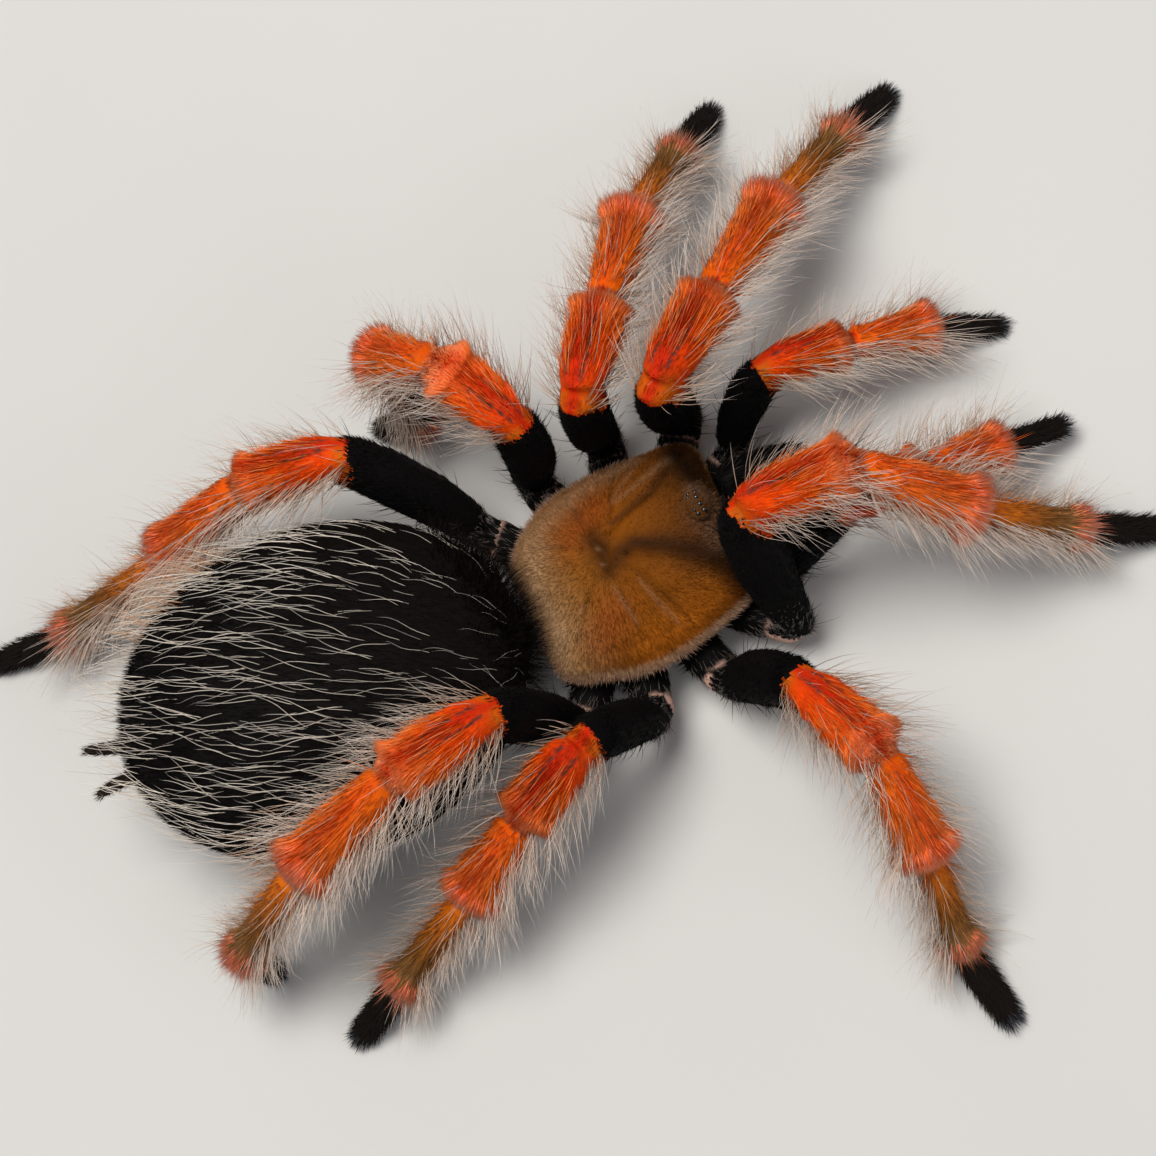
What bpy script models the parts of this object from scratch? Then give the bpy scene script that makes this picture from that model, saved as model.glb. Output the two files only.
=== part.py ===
"""A Mexican fireleg tarantula (Brachypelma boehmei), life size, standing at rest.

A still museum model of a plump adult female: the shield of the head, the
eye hill, the underside with the first joints of the limbs, two jaws with
their fangs, two feelers (palps) of four segments, eight legs of five
segments, the waist, the abdomen and two spinnerets. The solids are the true
outline to the tips of the short coat.

The spider faces -Y, its left side is +X and +Z is up. It stands on the floor
z = 0, with the origin under the middle of its bounding box. Sizes below are
in millimetres and angles in degrees; meshes are in metres.
"""

import math

import bmesh
import bpy
from mathutils import Matrix, Vector

MM = 0.001
SEAM = 0.3            # clear gap between two pieces that touch
UP = Vector((0.0, 0.0, 1.0))

# The head and its tilt
HEAD_HEIGHT = 7.0     # middle plane of the head above the floor
HEAD_PITCH = -3.7     # nose slightly down
HEAD_ROLL = 3.2       # right side slightly up
SHIELD_FLOOR = -1.0   # underside of the head shield, from the middle plane
SHIELD_LENGTHS = (-9.9, 9.8)     # front edge and rear edge along Y
EYE_HILL = (1.25, 0.85, 0.95)     # half width, half length, height
EYE_HILL_Y = -7.7

# The limbs: lengths of femur, patella, tibia, metatarsus, tarsus
LEG_LENGTHS = {
    1: (15.6, 9.2, 12.2, 10.8, 8.0),
    2: (14.2, 8.4, 10.6, 10.4, 7.6),
    3: (12.6, 7.6, 9.0, 11.4, 7.4),
    4: (16.8, 8.4, 12.0, 15.0, 8.2),
}
PALP_LENGTHS = (11.0, 7.0, 8.6, 7.4)
LEG_SEGMENTS = ("femur", "patella", "tibia", "metatarsus", "tarsus")
PALP_SEGMENTS = ("femur", "patella", "tibia", "tarsus")

# Where each limb leaves its hip: out to the side, forward of the head's middle
HIPS = {"palp": (5.9, 12.4), 1: (10.6, 10.4), 2: (12.4, 3.4), 3: (12.0, -3.6), 4: (10.2, -9.4)}
HIP_ROOTS = {"palp": (2.6, 6.2), 1: (3.4, 3.8), 2: (3.6, 1.0), 3: (3.4, -1.8), 4: (3.0, -4.6)}
HIP_DROP = 3.2        # hips below the middle plane of the head
ROOT_DROP = 3.7

# Stance of each limb: heading from straight ahead, lean of its plane to the
# front, swing of the foot, and the rise of each segment above level
STANCE = {
    ("left", "palp"): (1, -14, -10, (53, -26, -26, -29)),
    ("left", 1): (35, 5, -8, (92, -16, -23, -27, -36)),
    ("left", 2): (51, 4, -11, (88, -12, -21, -34, -36)),
    ("left", 3): (125, 11, 5, (89, 38, -28, -97, -33)),
    ("left", 4): (162, 22, 0, (58, -9, -34, -30, -12)),
    ("right", "palp"): (1, -2, 0, (53, -4, -42, -31)),
    ("right", 1): (17, 26, -15, (91, 12, -42, -45, -35)),
    ("right", 2): (76, 20, 2, (57, 14, -43, -52, -14)),
    ("right", 3): (161, 1, 4, (61, -17, -24, -26, -31)),
    ("right", 4): (171, -5, 10, (73, 11, -14, -44, -89)),
}
LIFTED = (("right", "palp"),)     # the limbs whose foot is off the floor
LARGEST_DROP = 40.0   # the outer half of a limb is let down by no more than this
PAD_PRESS = 0.35      # how deep a foot's pad would sink before it is cut flat

# Cross-sections at the base, the middle and the far end of each segment
WIDTHS = {
    "coxa": (3.9, 4.6, 4.2),
    "femur": (3.9, 4.7, 4.5),
    "patella": (4.5, 5.1, 4.8),
    "tibia": (4.1, 4.5, 5.1),
    "metatarsus": (3.2, 3.1, 3.3),
    "tarsus": (2.9, 3.1, 2.5),
}
DEPTHS = {
    "coxa": (3.8, 4.2, 4.0),
    "femur": (4.2, 6.1, 5.2),
    "patella": (4.8, 5.2, 4.8),
    "tibia": (4.2, 4.6, 5.0),
    "metatarsus": (3.1, 3.1, 3.2),
    "tarsus": (2.6, 2.5, 2.1),
}

# Shares of the full girth at places along a segment, and how many sides it has
ROUND_BOTH = ((0.0, 0.84), (0.08, 1.0), (0.35, 1.0), (0.65, 1.0), (0.92, 1.0), (1.0, 0.84))
ROUND_TIP = ((0.0, 0.84), (0.08, 1.0), (0.45, 1.0), (0.80, 1.0), (0.94, 0.9), (1.0, 0.6))
HIP_SHAPE = ((0.0, 0.9), (0.5, 1.0), (0.66, 1.0), (0.72, 0.86), (0.78, 1.0), (0.94, 1.0), (1.0, 0.84))
LIMB_SIDES = 10
BOW = {"femur": 0.7}              # how far the middle arches to the back of the limb
PALP_GIRTH = 0.83                 # palps are slimmer than legs
REAR_LEG_GIRTH = 1.06             # the last leg's outer half is bushier

# The abdomen, an egg on its side
ABDOMEN_MIDDLE = Vector((1.8, 26.8, 11.8))
ABDOMEN_HALVES = (14.9, 18.1, 11.1)      # half width, half length, half height
ABDOMEN_YAW = 7.5                        # tail end swung to the left
ABDOMEN_PITCH = 6.0                      # tail end raised
ABDOMEN_FRONT_SLOPE = 0.25               # how much lower the front end is

BLACK_VELVET = (0.012, 0.010, 0.010)
COPPER = (0.42, 0.20, 0.085)
FIRE_ORANGE = (0.72, 0.17, 0.03)
SALMON = (0.80, 0.36, 0.17)
PALE_ORANGE = (0.70, 0.38, 0.20)
DARK_HORN = (0.03, 0.012, 0.008)
BROWN_SKIN = (0.06, 0.035, 0.025)

SEGMENT_COLOURS = {
    "femur": BLACK_VELVET,
    "patella": FIRE_ORANGE,
    "tibia": SALMON,
    "metatarsus": PALE_ORANGE,
    "tarsus": BLACK_VELVET,
}


def clear_scene():
    for thing in list(bpy.data.objects):
        bpy.data.objects.remove(thing, do_unlink=True)


def finish_material(name, colour, roughness):
    material = bpy.data.materials.get(name) or bpy.data.materials.new(name)
    material.use_nodes = True
    shader = material.node_tree.nodes["Principled BSDF"]
    shader.inputs["Base Color"].default_value = (*colour, 1.0)
    shader.inputs["Roughness"].default_value = roughness
    shader.inputs["Metallic"].default_value = 0.0
    return material


def add_object(name, shape, material):
    """Turns a bmesh in millimetres into a named object in metres."""
    bmesh.ops.recalc_face_normals(shape, faces=shape.faces)
    bmesh.ops.scale(shape, vec=(MM, MM, MM), verts=shape.verts)
    mesh = bpy.data.meshes.new(name)
    shape.to_mesh(mesh)
    shape.free()
    mesh.materials.append(material)
    mesh.shade_smooth()
    mesh.set_sharp_from_angle(angle=math.radians(40))
    thing = bpy.data.objects.new(name, mesh)
    bpy.context.scene.collection.objects.link(thing)
    return thing


def loft(rings):
    """A closed body through rings of equal numbers of points."""
    shape = bmesh.new()
    first = shape.faces.new([shape.verts.new(point) for point in rings[0]])
    face = first
    for ring in rings[1:]:
        made = bmesh.ops.extrude_face_region(shape, geom=[face])["geom"]
        if face is not first:
            shape.faces.remove(face)
        face = next(item for item in made if isinstance(item, bmesh.types.BMFace))
        for vert, point in zip(face.verts, ring):
            vert.co = point
    return shape


def through_three(values, along):
    """A smooth value through those at the base, the middle and the far end."""
    base, middle, far = values
    near = (along - 0.5) * (along - 1.0) * 2.0
    centre = along * (1.0 - along) * 4.0
    end = along * (along - 0.5) * 2.0
    return base * near + middle * centre + far * end


def head_turn():
    pitch = Matrix.Rotation(math.radians(-HEAD_PITCH), 3, "X")
    roll = Matrix.Rotation(math.radians(HEAD_ROLL), 3, "Y")
    return pitch @ roll


def in_head(x, y, z):
    """A point given from the middle of the head, in the spider's stance."""
    return head_turn() @ Vector((x, y, z)) + UP * HEAD_HEIGHT


def side_sign(side):
    return 1.0 if side == "left" else -1.0


def hip_point(side, limb):
    lateral, forward = HIPS[limb]
    return in_head(side_sign(side) * lateral, -forward, -HIP_DROP)


def hip_root(side, limb):
    lateral, forward = HIP_ROOTS[limb]
    return in_head(side_sign(side) * lateral, -forward, -ROOT_DROP)


def leg_plane(side, heading, lean):
    """The level direction a limb points to, and its upward direction."""
    sign = side_sign(side)
    yaw = math.radians(heading)
    level = Vector((sign * math.sin(yaw), -math.cos(yaw), 0.0))
    front = UP.cross(level) * -sign
    tilt = math.radians(lean)
    return level, UP * math.cos(tilt) + front * math.sin(tilt)


def limb_frames(side, limb, drop):
    """For each segment of a limb: its direction and the side of its plane."""
    heading, lean, swing, rises = STANCE[side, limb]
    frames = []
    for index, rise in enumerate(rises):
        turned = heading + (swing if index >= 3 else 0.0)
        level, upward = leg_plane(side, turned, lean)
        angle = math.radians(rise + (drop if index >= 2 else 0.0))
        along = level * math.cos(angle) + upward * math.sin(angle)
        frames.append((along.normalized(), level.cross(upward).normalized()))
    return frames


def limb_joints(side, limb, drop):
    lengths = PALP_LENGTHS if limb == "palp" else LEG_LENGTHS[limb]
    joints = [hip_point(side, limb)]
    for length, (along, _) in zip(lengths, limb_frames(side, limb, drop)):
        joints.append(joints[-1] + along * length)
    return joints


def sole_height(side, limb, drop):
    """Height of the lowest point of a foot, with the outer half of the limb let down."""
    ankle, tip = limb_joints(side, limb, drop)[-2:]
    length = (tip - ankle).length - SEAM / 2
    along = (tip - ankle).normalized()
    level = math.hypot(along.x, along.y) * limb_girth(limb, "tarsus")
    return min(
        ankle.z + along.z * length * place - through_three(DEPTHS["tarsus"], place) / 2 * share * level
        for place, share in ROUND_TIP
    )


def settled_drop(side, limb):
    """How far the outer half of a limb is let down so that its pad is on the floor."""
    if (side, limb) in LIFTED:
        return 0.0
    low, high = -LARGEST_DROP, LARGEST_DROP
    for _ in range(40):
        drop = (low + high) / 2
        if sole_height(side, limb, drop) > -PAD_PRESS:
            high = drop
        else:
            low = drop
    return drop


def segment_rings(kind, start, end, side_way, cuts, girth, fullness):
    """Rings of one limb segment, both ends mitred to meet the next segments.

    cuts holds the normals of the planes at the start and the end; fullness
    pairs each place along the segment with the share of its full girth."""
    along = (end - start).normalized()
    length = (end - start).length
    up = side_way.cross(along).normalized()
    if up.z < 0.0 and abs(along.z) < 0.7:
        up = -up
    rings = []
    for place, share in fullness:
        half_width = through_three(WIDTHS[kind], place) * girth / 2
        half_depth = through_three(DEPTHS[kind], place) * girth / 2
        arch = up * BOW.get(kind, 0.0) * math.sin(math.pi * place)
        ring = []
        for step in range(LIMB_SIDES):
            turn = 2 * math.pi * (step + 0.5) / LIMB_SIDES
            out = side_way * math.cos(turn) * half_width + up * math.sin(turn) * half_depth
            near = along_to_cut(out, along, cuts[0], SEAM / 2)
            far = length + along_to_cut(out, along, cuts[1], -SEAM / 2)
            ring.append(start + along * (near + (far - near) * place) + out * share + arch)
        rings.append(ring)
    return rings


def along_to_cut(out, along, normal, gap):
    """Where the line beside the axis by out meets the plane of a joint.

    The outer corner of a sharp bend is drawn in, so that the joint is round."""
    drawn_in = 0.86
    reach = -out.dot(normal) / along.dot(normal) * drawn_in
    corner = reach if gap < 0 else -reach
    if corner > 0.0:
        reach *= 1.0 / (1.0 + 0.35 * corner / out.length)
    return reach + gap / along.dot(normal)


def limb_girth(limb, kind):
    if limb == "palp":
        return PALP_GIRTH
    if limb == 4 and kind in ("tibia", "metatarsus"):
        return REAR_LEG_GIRTH
    return 1.0


def hip_direction(side, limb):
    return (hip_point(side, limb) - hip_root(side, limb)).normalized()


def build_limb(side, limb):
    drop = settled_drop(side, limb)
    joints = limb_joints(side, limb, drop)
    frames = limb_frames(side, limb, drop)
    kinds = PALP_SEGMENTS if limb == "palp" else LEG_SEGMENTS
    ways = [hip_direction(side, limb)] + [along for along, _ in frames]
    ways.append(ways[-1])
    for index, kind in enumerate(kinds):
        cuts = [(ways[index + i] + ways[index + i + 1]).normalized() for i in (0, 1)]
        rings = segment_rings(
            kind, joints[index], joints[index + 1], frames[index][1], cuts,
            limb_girth(limb, kind), ROUND_TIP if kind == "tarsus" else ROUND_BOTH,
        )
        shape = loft(rings)
        if kind == "tarsus":
            cut_flat_pad(shape)
        name = f"palp_{side}_{kind}" if limb == "palp" else f"leg_{side}_{limb}_{kind}"
        add_object(name, shape, finish_material(kind, SEGMENT_COLOURS[kind], 0.75))


def cut_flat_pad(shape):
    """Takes off what is below the floor, which leaves the flat that the foot stands on."""
    everything = shape.verts[:] + shape.edges[:] + shape.faces[:]
    cut = bmesh.ops.bisect_plane(
        shape, geom=everything, plane_co=(0, 0, 0), plane_no=(0, 0, -1), clear_outer=True
    )
    rim = [item for item in cut["geom_cut"] if isinstance(item, bmesh.types.BMEdge)]
    if rim:
        bmesh.ops.holes_fill(shape, edges=rim, sides=0)


def shield_half_width(y):
    """Half the width of the head shield: wide and square in front, round behind."""
    front, rear = SHIELD_LENGTHS
    if y < 0.0:
        share = y / front
        return 9.3 - 1.9 * share ** 2 - 1.7 * share ** 14
    share = y / rear
    return 9.3 * (1.0 - share ** 2.6) ** 0.5 if share < 1.0 else 0.0


def shield_crown(y):
    """Height of the midline: a low dome behind, the raised head part in front."""
    front, rear = SHIELD_LENGTHS
    if y > 0.0:
        return 4.3 - 4.2 * (y / rear) ** 2.6
    share = y / front
    return 4.3 + 0.5 * math.sin(math.pi * min(1.0, share * 1.1)) - 2.7 * share ** 14


def shield_top(y, share):
    """Height of the shield at a share of its half width."""
    low = SHIELD_FLOOR + 0.5
    dome = max(0.0, 1.0 - abs(share) ** 2.4) ** 0.7
    return low + (shield_crown(y) - low) * dome


def build_carapace():
    front, rear = SHIELD_LENGTHS
    slices, across = 16, 12
    rings = []
    for index in range(slices + 1):
        swing = math.pi * index / slices
        y = (front + rear) / 2 + (front - rear) / 2 * math.cos(swing) * 0.995
        half = shield_half_width(y)
        ring = []
        for step in range(across + 1):
            share = -math.cos(math.pi * step / across)
            ring.append(in_head(half * share, y, shield_top(y, share)))
        for share in (0.93, 0.4, -0.4, -0.93):
            ring.append(in_head(half * share, y, SHIELD_FLOOR))
        rings.append(ring)
    add_object("carapace", loft(rings), finish_material("carapace", COPPER, 0.6))


EYES = (  # lateral, forward and height on the hill, and radius
    (0.36, 0.30, 0.62, 0.25),
    (0.92, 0.42, 0.36, 0.24),
    (0.62, -0.34, 0.56, 0.16),
    (0.98, -0.18, 0.38, 0.20),
)


def build_eye_hill():
    half_width, half_length, height = EYE_HILL
    base = shield_crown(EYE_HILL_Y) + SEAM
    levels = ((0.0, 1.0), (0.35, 0.95), (0.7, 0.72), (0.92, 0.42), (1.0, 0.14))
    rings = []
    for rise, spread in levels:
        ring = []
        for step in range(14):
            turn = 2 * math.pi * step / 14
            x = math.cos(turn) * half_width * spread
            y = EYE_HILL_Y + math.sin(turn) * half_length * spread
            seat = shield_top(y, x / shield_half_width(y)) + SEAM
            ring.append(in_head(x, y, seat * (1.0 - rise) + (base + height) * rise))
        rings.append(ring)
    hill = add_object("eye_tubercle", loft(rings), finish_material("eye_hill", DARK_HORN, 0.3))
    beads = bmesh.new()
    for lateral, forward, height_up, radius in EYES:
        for sign in (1.0, -1.0):
            centre = in_head(sign * lateral, EYE_HILL_Y - forward, base + height_up)
            bmesh.ops.create_uvsphere(
                beads, u_segments=6, v_segments=4, radius=radius,
                matrix=Matrix.Translation(centre),
            )
    join_bodies(hill, [add_object("eye_beads", beads, finish_material("eye_hill", DARK_HORN, 0.3))])


def join_bodies(thing, helpers, solver="EXACT"):
    """Joins helper bodies to a thing with Boolean unions and leaves them out of the model."""
    for helper in helpers:
        helper.hide_render = True
        helper.display_type = "WIRE"
        union = thing.modifiers.new("join_" + helper.name, "BOOLEAN")
        union.operation = "UNION"
        union.solver = solver
        union.object = helper


def build_underside():
    """The breastplate and the ten hips that grow from it, with the trochanters."""
    levels = ((-1.6, 5.0, 7.4), (-3.6, 4.9, 7.3), (-5.2, 4.4, 6.8), (-5.9, 3.6, 6.0))
    rings = []
    for z, half_width, half_length in levels:
        ring = []
        for step in range(16):
            turn = 2 * math.pi * (step + 0.5) / 16
            ring.append(in_head(half_width * math.cos(turn), half_length * math.sin(turn) - 0.4, z))
        rings.append(ring)
    material = finish_material("underside", BLACK_VELVET, 0.8)
    plate = add_object("sternum_and_coxae", loft(rings), material)
    helpers = []
    for side in ("left", "right"):
        for limb in HIPS:
            start, end = hip_root(side, limb), hip_point(side, limb)
            along = (end - start).normalized()
            next_way = limb_frames(side, limb, 0.0)[0][0]
            rings = segment_rings(
                "coxa", start, end, along.cross(UP).normalized(),
                (along, (along + next_way).normalized()), PALP_GIRTH if limb == "palp" else 1.0,
                HIP_SHAPE,
            )
            helpers.append(add_object(f"hip_{side}_{limb}", loft(rings), material))
    join_bodies(plate, helpers, "MANIFOLD")


JAW_LENGTH = 8.4
JAW_WIDTHS = (3.9, 4.1, 3.0)
JAW_DEPTHS = (4.8, 5.4, 3.6)
JAW_SHAPE = ((0.0, 0.9), (0.07, 1.0), (0.3, 1.0), (0.55, 1.0), (0.78, 1.0), (0.92, 0.86), (1.0, 0.5))
JAW_ROOT = (-10.2, -0.3)          # y and z of the base's middle


def jaw_middle(side, along):
    half = through_three(JAW_WIDTHS, along) / 2
    y = JAW_ROOT[0] - JAW_LENGTH * along
    z = JAW_ROOT[1] - 0.5 * along - 1.5 * along ** 2
    return side_sign(side) * (half + SEAM / 2), y, z


def build_jaw(side):
    rings = []
    for along, share in JAW_SHAPE:
        half_width = through_three(JAW_WIDTHS, along) / 2 * share
        half_depth = through_three(JAW_DEPTHS, along) / 2 * share
        x, y, z = jaw_middle(side, along)
        ring = []
        for step in range(14):
            turn = 2 * math.pi * (step + 0.5) / 14
            ring.append(in_head(x + half_width * math.cos(turn), y, z + half_depth * math.sin(turn)))
        rings.append(ring)
    add_object(f"chelicera_{side}", loft(rings), finish_material("jaw", BLACK_VELVET, 0.7))


FANG_LENGTH = 5.6
FANG_WIDTHS = (1.3, 0.95, 0.5)


def build_fang(side):
    """A fang folded back under its jaw, from a hinge below the jaw's tip."""
    x, y, z = jaw_middle(side, 0.9)
    hinge_y = y + 0.2
    hinge_z = z - through_three(JAW_DEPTHS, 0.9) / 2 - 0.55
    rings = []
    for step in range(6):
        along = step / 5
        radius = through_three(FANG_WIDTHS, along) / 2
        middle_y = hinge_y + FANG_LENGTH * along
        middle_z = hinge_z + 0.35 * math.sin(math.pi * along) * -1.0 - 0.1 * along
        slope = math.atan2(-0.35 * math.pi * math.cos(math.pi * along) - 0.1, FANG_LENGTH)
        ring = []
        for turn_step in range(8):
            turn = 2 * math.pi * turn_step / 8
            rise = radius * math.sin(turn)
            ring.append(
                in_head(
                    x + radius * math.cos(turn),
                    middle_y - rise * math.sin(slope),
                    middle_z + rise * math.cos(slope),
                )
            )
        rings.append(ring)
    add_object(f"fang_{side}", loft(rings), finish_material("fang", DARK_HORN, 0.2))


def abdomen_axes():
    yaw, pitch = math.radians(ABDOMEN_YAW), math.radians(ABDOMEN_PITCH)
    rear = Vector((math.sin(yaw) * math.cos(pitch), math.cos(yaw) * math.cos(pitch), math.sin(pitch)))
    across = UP.cross(rear).normalized()
    return rear, across, rear.cross(across)


def abdomen_ring(place, sides):
    """A ring of the abdomen; place runs from -1 in front to 1 behind."""
    half_width, half_length, half_height = ABDOMEN_HALVES
    rear, across, up = abdomen_axes()
    girth = max(0.0, 1.0 - place * place) ** 0.5
    height = half_height * (1.0 - ABDOMEN_FRONT_SLOPE * max(0.0, -place))
    middle = ABDOMEN_MIDDLE + rear * half_length * place
    ring = []
    for step in range(sides):
        turn = 2 * math.pi * (step + 0.5) / sides
        out = across * math.cos(turn) * half_width + up * math.sin(turn) * height
        ring.append(middle + out * girth)
    return ring


def build_abdomen():
    rings = []
    slices = 14
    for index in range(slices + 1):
        place = -math.cos(math.pi * index / slices) * 0.998
        rings.append(abdomen_ring(place, 20))
    add_object("abdomen", loft(rings), finish_material("abdomen", BLACK_VELVET, 0.85))


WAIST_DROP = 4.4      # the waist meets the abdomen this far below its front end


def build_pedicel():
    """The narrow waist between the underside of the head and the abdomen."""
    rear, across, up = abdomen_axes()
    _, half_length, half_height = ABDOMEN_HALVES
    girth = WAIST_DROP / (half_height * (1.0 - ABDOMEN_FRONT_SLOPE))
    place = -math.sqrt(1.0 - girth * girth)
    start = in_head(0.0, 7.5, -4.0)
    end = ABDOMEN_MIDDLE + rear * (half_length * place - 3 * SEAM) - up * WAIST_DROP
    along = (end - start).normalized()
    side_way = along.cross(UP).normalized()
    lift = side_way.cross(along)
    rings = []
    for place, radius in ((0.0, 1.3), (0.3, 1.0), (0.7, 1.0), (1.0, 1.2)):
        ring = []
        for step in range(10):
            turn = 2 * math.pi * step / 10
            out = side_way * math.cos(turn) + lift * math.sin(turn)
            ring.append(start + (end - start) * place + out * radius)
        rings.append(ring)
    add_object("pedicel", loft(rings), finish_material("pedicel", BROWN_SKIN, 0.6))


SPINNERET_LENGTH = 4.2
SPINNERET_WIDTH = 1.5
SPINNERET_PLACE = 0.980          # how far back on the abdomen they leave it
SPINNERET_DROP = 3.2             # below the abdomen's long axis
SPINNERET_APART = 1.2            # each one's middle from the pair's middle
SPINNERETS_ASIDE = 1.2           # the pair's middle lies to the left of the axis


def build_spinneret(side):
    """One long spinneret of three segments below the tail end, pointing back."""
    rear, across, up = abdomen_axes()
    left = -across
    _, half_length, _ = ABDOMEN_HALVES
    sideways = SPINNERETS_ASIDE + side_sign(side) * SPINNERET_APART
    start = ABDOMEN_MIDDLE + rear * half_length * SPINNERET_PLACE - up * SPINNERET_DROP + left * sideways
    along = (rear + up * 0.1 + left * side_sign(side) * 0.22).normalized()
    side_way = along.cross(up).normalized()
    lift = side_way.cross(along)
    shares = ((0.0, 0.9), (0.06, 1.0), (0.34, 0.95), (0.38, 0.8), (0.42, 0.92), (0.68, 0.84),
              (0.72, 0.7), (0.76, 0.8), (0.93, 0.6), (1.0, 0.3))
    rings = []
    for place, share in shares:
        radius = SPINNERET_WIDTH / 2 * share
        middle = start + along * SPINNERET_LENGTH * place
        ring = []
        for step in range(8):
            turn = 2 * math.pi * step / 8
            ring.append(middle + (side_way * math.cos(turn) + lift * math.sin(turn)) * radius)
        rings.append(ring)
    add_object(f"spinneret_{side}", loft(rings), finish_material("spinneret", BROWN_SKIN, 0.6))


def settle_on_origin():
    """Moves the model so that the origin is under the middle of its box."""
    shown = [thing for thing in bpy.data.objects if not thing.hide_render]
    corners = [vert.co for thing in shown for vert in thing.data.vertices]
    middle_x = (min(c.x for c in corners) + max(c.x for c in corners)) / 2
    middle_y = (min(c.y for c in corners) + max(c.y for c in corners)) / 2
    for thing in bpy.data.objects:
        thing.data.transform(Matrix.Translation((-middle_x, -middle_y, 0.0)))


def main():
    clear_scene()
    build_carapace()
    build_eye_hill()
    build_underside()
    for side in ("left", "right"):
        build_jaw(side)
        build_fang(side)
        for limb in HIPS:
            build_limb(side, limb)
        build_spinneret(side)
    build_abdomen()
    build_pedicel()
    settle_on_origin()


main()
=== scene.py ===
"""The looks of a life-size Mexican fireleg tarantula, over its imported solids.

One skin covers the limbs, the underside, the waist and the abdomen; the head shield, jaws, fangs,
eyes, claws and spinnerets are pieces of their own. On them stands a coat of solid hairs (setae).
Sizes are in millimetres, angles in degrees, and turns round a part in shares of a whole turn.
"""

import math
from dataclasses import dataclass
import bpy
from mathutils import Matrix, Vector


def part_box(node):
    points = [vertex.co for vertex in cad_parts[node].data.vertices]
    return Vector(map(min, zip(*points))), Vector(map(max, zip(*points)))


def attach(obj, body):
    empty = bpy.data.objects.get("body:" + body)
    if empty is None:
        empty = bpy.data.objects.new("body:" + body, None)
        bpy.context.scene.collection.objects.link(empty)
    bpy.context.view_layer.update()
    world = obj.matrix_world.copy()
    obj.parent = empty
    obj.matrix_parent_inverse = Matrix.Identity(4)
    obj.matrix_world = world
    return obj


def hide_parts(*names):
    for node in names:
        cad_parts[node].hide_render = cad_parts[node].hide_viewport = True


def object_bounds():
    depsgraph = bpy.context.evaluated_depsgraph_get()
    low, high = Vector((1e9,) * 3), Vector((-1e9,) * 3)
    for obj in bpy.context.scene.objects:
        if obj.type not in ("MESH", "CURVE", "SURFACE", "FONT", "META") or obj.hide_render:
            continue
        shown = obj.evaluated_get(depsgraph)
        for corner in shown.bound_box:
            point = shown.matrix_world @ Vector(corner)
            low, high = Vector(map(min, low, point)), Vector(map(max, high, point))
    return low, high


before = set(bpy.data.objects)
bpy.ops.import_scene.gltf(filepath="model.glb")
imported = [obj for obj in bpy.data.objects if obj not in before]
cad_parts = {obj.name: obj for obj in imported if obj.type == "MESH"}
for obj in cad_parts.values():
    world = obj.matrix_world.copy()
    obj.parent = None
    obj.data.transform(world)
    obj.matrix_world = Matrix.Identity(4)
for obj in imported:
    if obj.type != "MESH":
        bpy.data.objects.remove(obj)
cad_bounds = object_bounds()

from types import SimpleNamespace

import bmesh
import bpy
import numpy as np
from mathutils import Matrix, Vector

MM = 0.001
UP = Vector((0.0, 0.0, 1.0))
RNG = np.random.default_rng(20)

LEG_KINDS = ("femur", "patella", "tibia", "metatarsus", "tarsus")
PALP_KINDS = ("femur", "patella", "tibia", "tarsus")
LIMBS = [(side, limb) for side in ("left", "right") for limb in ("palp", 1, 2, 3, 4)]
KINDS = LEG_KINDS + ("coxa", "underside", "abdomen")
BELLS = ("patella", "tibia", "metatarsus")      # the segments that widen to a rim at their end

MARKS = ("place", "ridge", "under", "parting", "dark", "pale", "rim", "fuzz", "seam", "blush", "bright")

# How deep the skin lies below the tips of the short coat
COAT_DEPTH = {
    "femur": 0.42, "patella": 0.36, "tibia": 0.40, "metatarsus": 0.34, "tarsus": 0.26,
    "coxa": 0.36, "abdomen": 0.55, "pedicel": 0.2, "jaw": 0.3, "shield": 0.28,
}


# ---- the frame

def read(items, field, width=1, kind=np.float64):
    """One field of all the items of a mesh, as an array."""
    values = np.empty(len(items) * width, kind)
    items.foreach_get(field, values)
    return values.reshape(-1, width) if width > 1 else values


def points_of(mesh):
    return read(mesh.vertices, "co", 3)


def node_points(node):
    return points_of(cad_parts[node].data)


def norms(vectors):
    return np.linalg.norm(vectors, axis=-1)


def box_middle(node):
    low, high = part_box(node)
    return (low + high) / 2


def seam_between(inner, outer):
    """The middle and the radius of the seam where two solids face each other."""
    a, b = node_points(inner), node_points(outer)
    gaps = norms(a[:, None] - b[None])
    reach = gaps.min() + 0.3 * MM
    rim = np.concatenate([a[gaps.min(axis=1) < reach], b[gaps.min(axis=0) < reach]])
    middle = (rim.min(axis=0) + rim.max(axis=0)) / 2
    return middle, float(norms(rim - middle).mean())


def unit(vector):
    return vector / np.linalg.norm(vector)


def turns(across, ahead):
    """The angle of each place round a part, from -0.5 to 0.5."""
    return np.arctan2(across, ahead) / (2 * math.pi)


@dataclass
class Segment:
    """One length of a limb, from joint to joint."""
    node: str
    kind: str
    limb: int
    start: np.ndarray
    end: np.ndarray
    back: np.ndarray
    radius: float
    begun: float
    share: float

    @property
    def axis(self):
        return unit(self.end - self.start)

    @property
    def length(self):
        return float(np.linalg.norm(self.end - self.start))


HIP_REACH = (0.6, 0.6, 0.2)     # how far in towards the middle of the body a hip reaches


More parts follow.
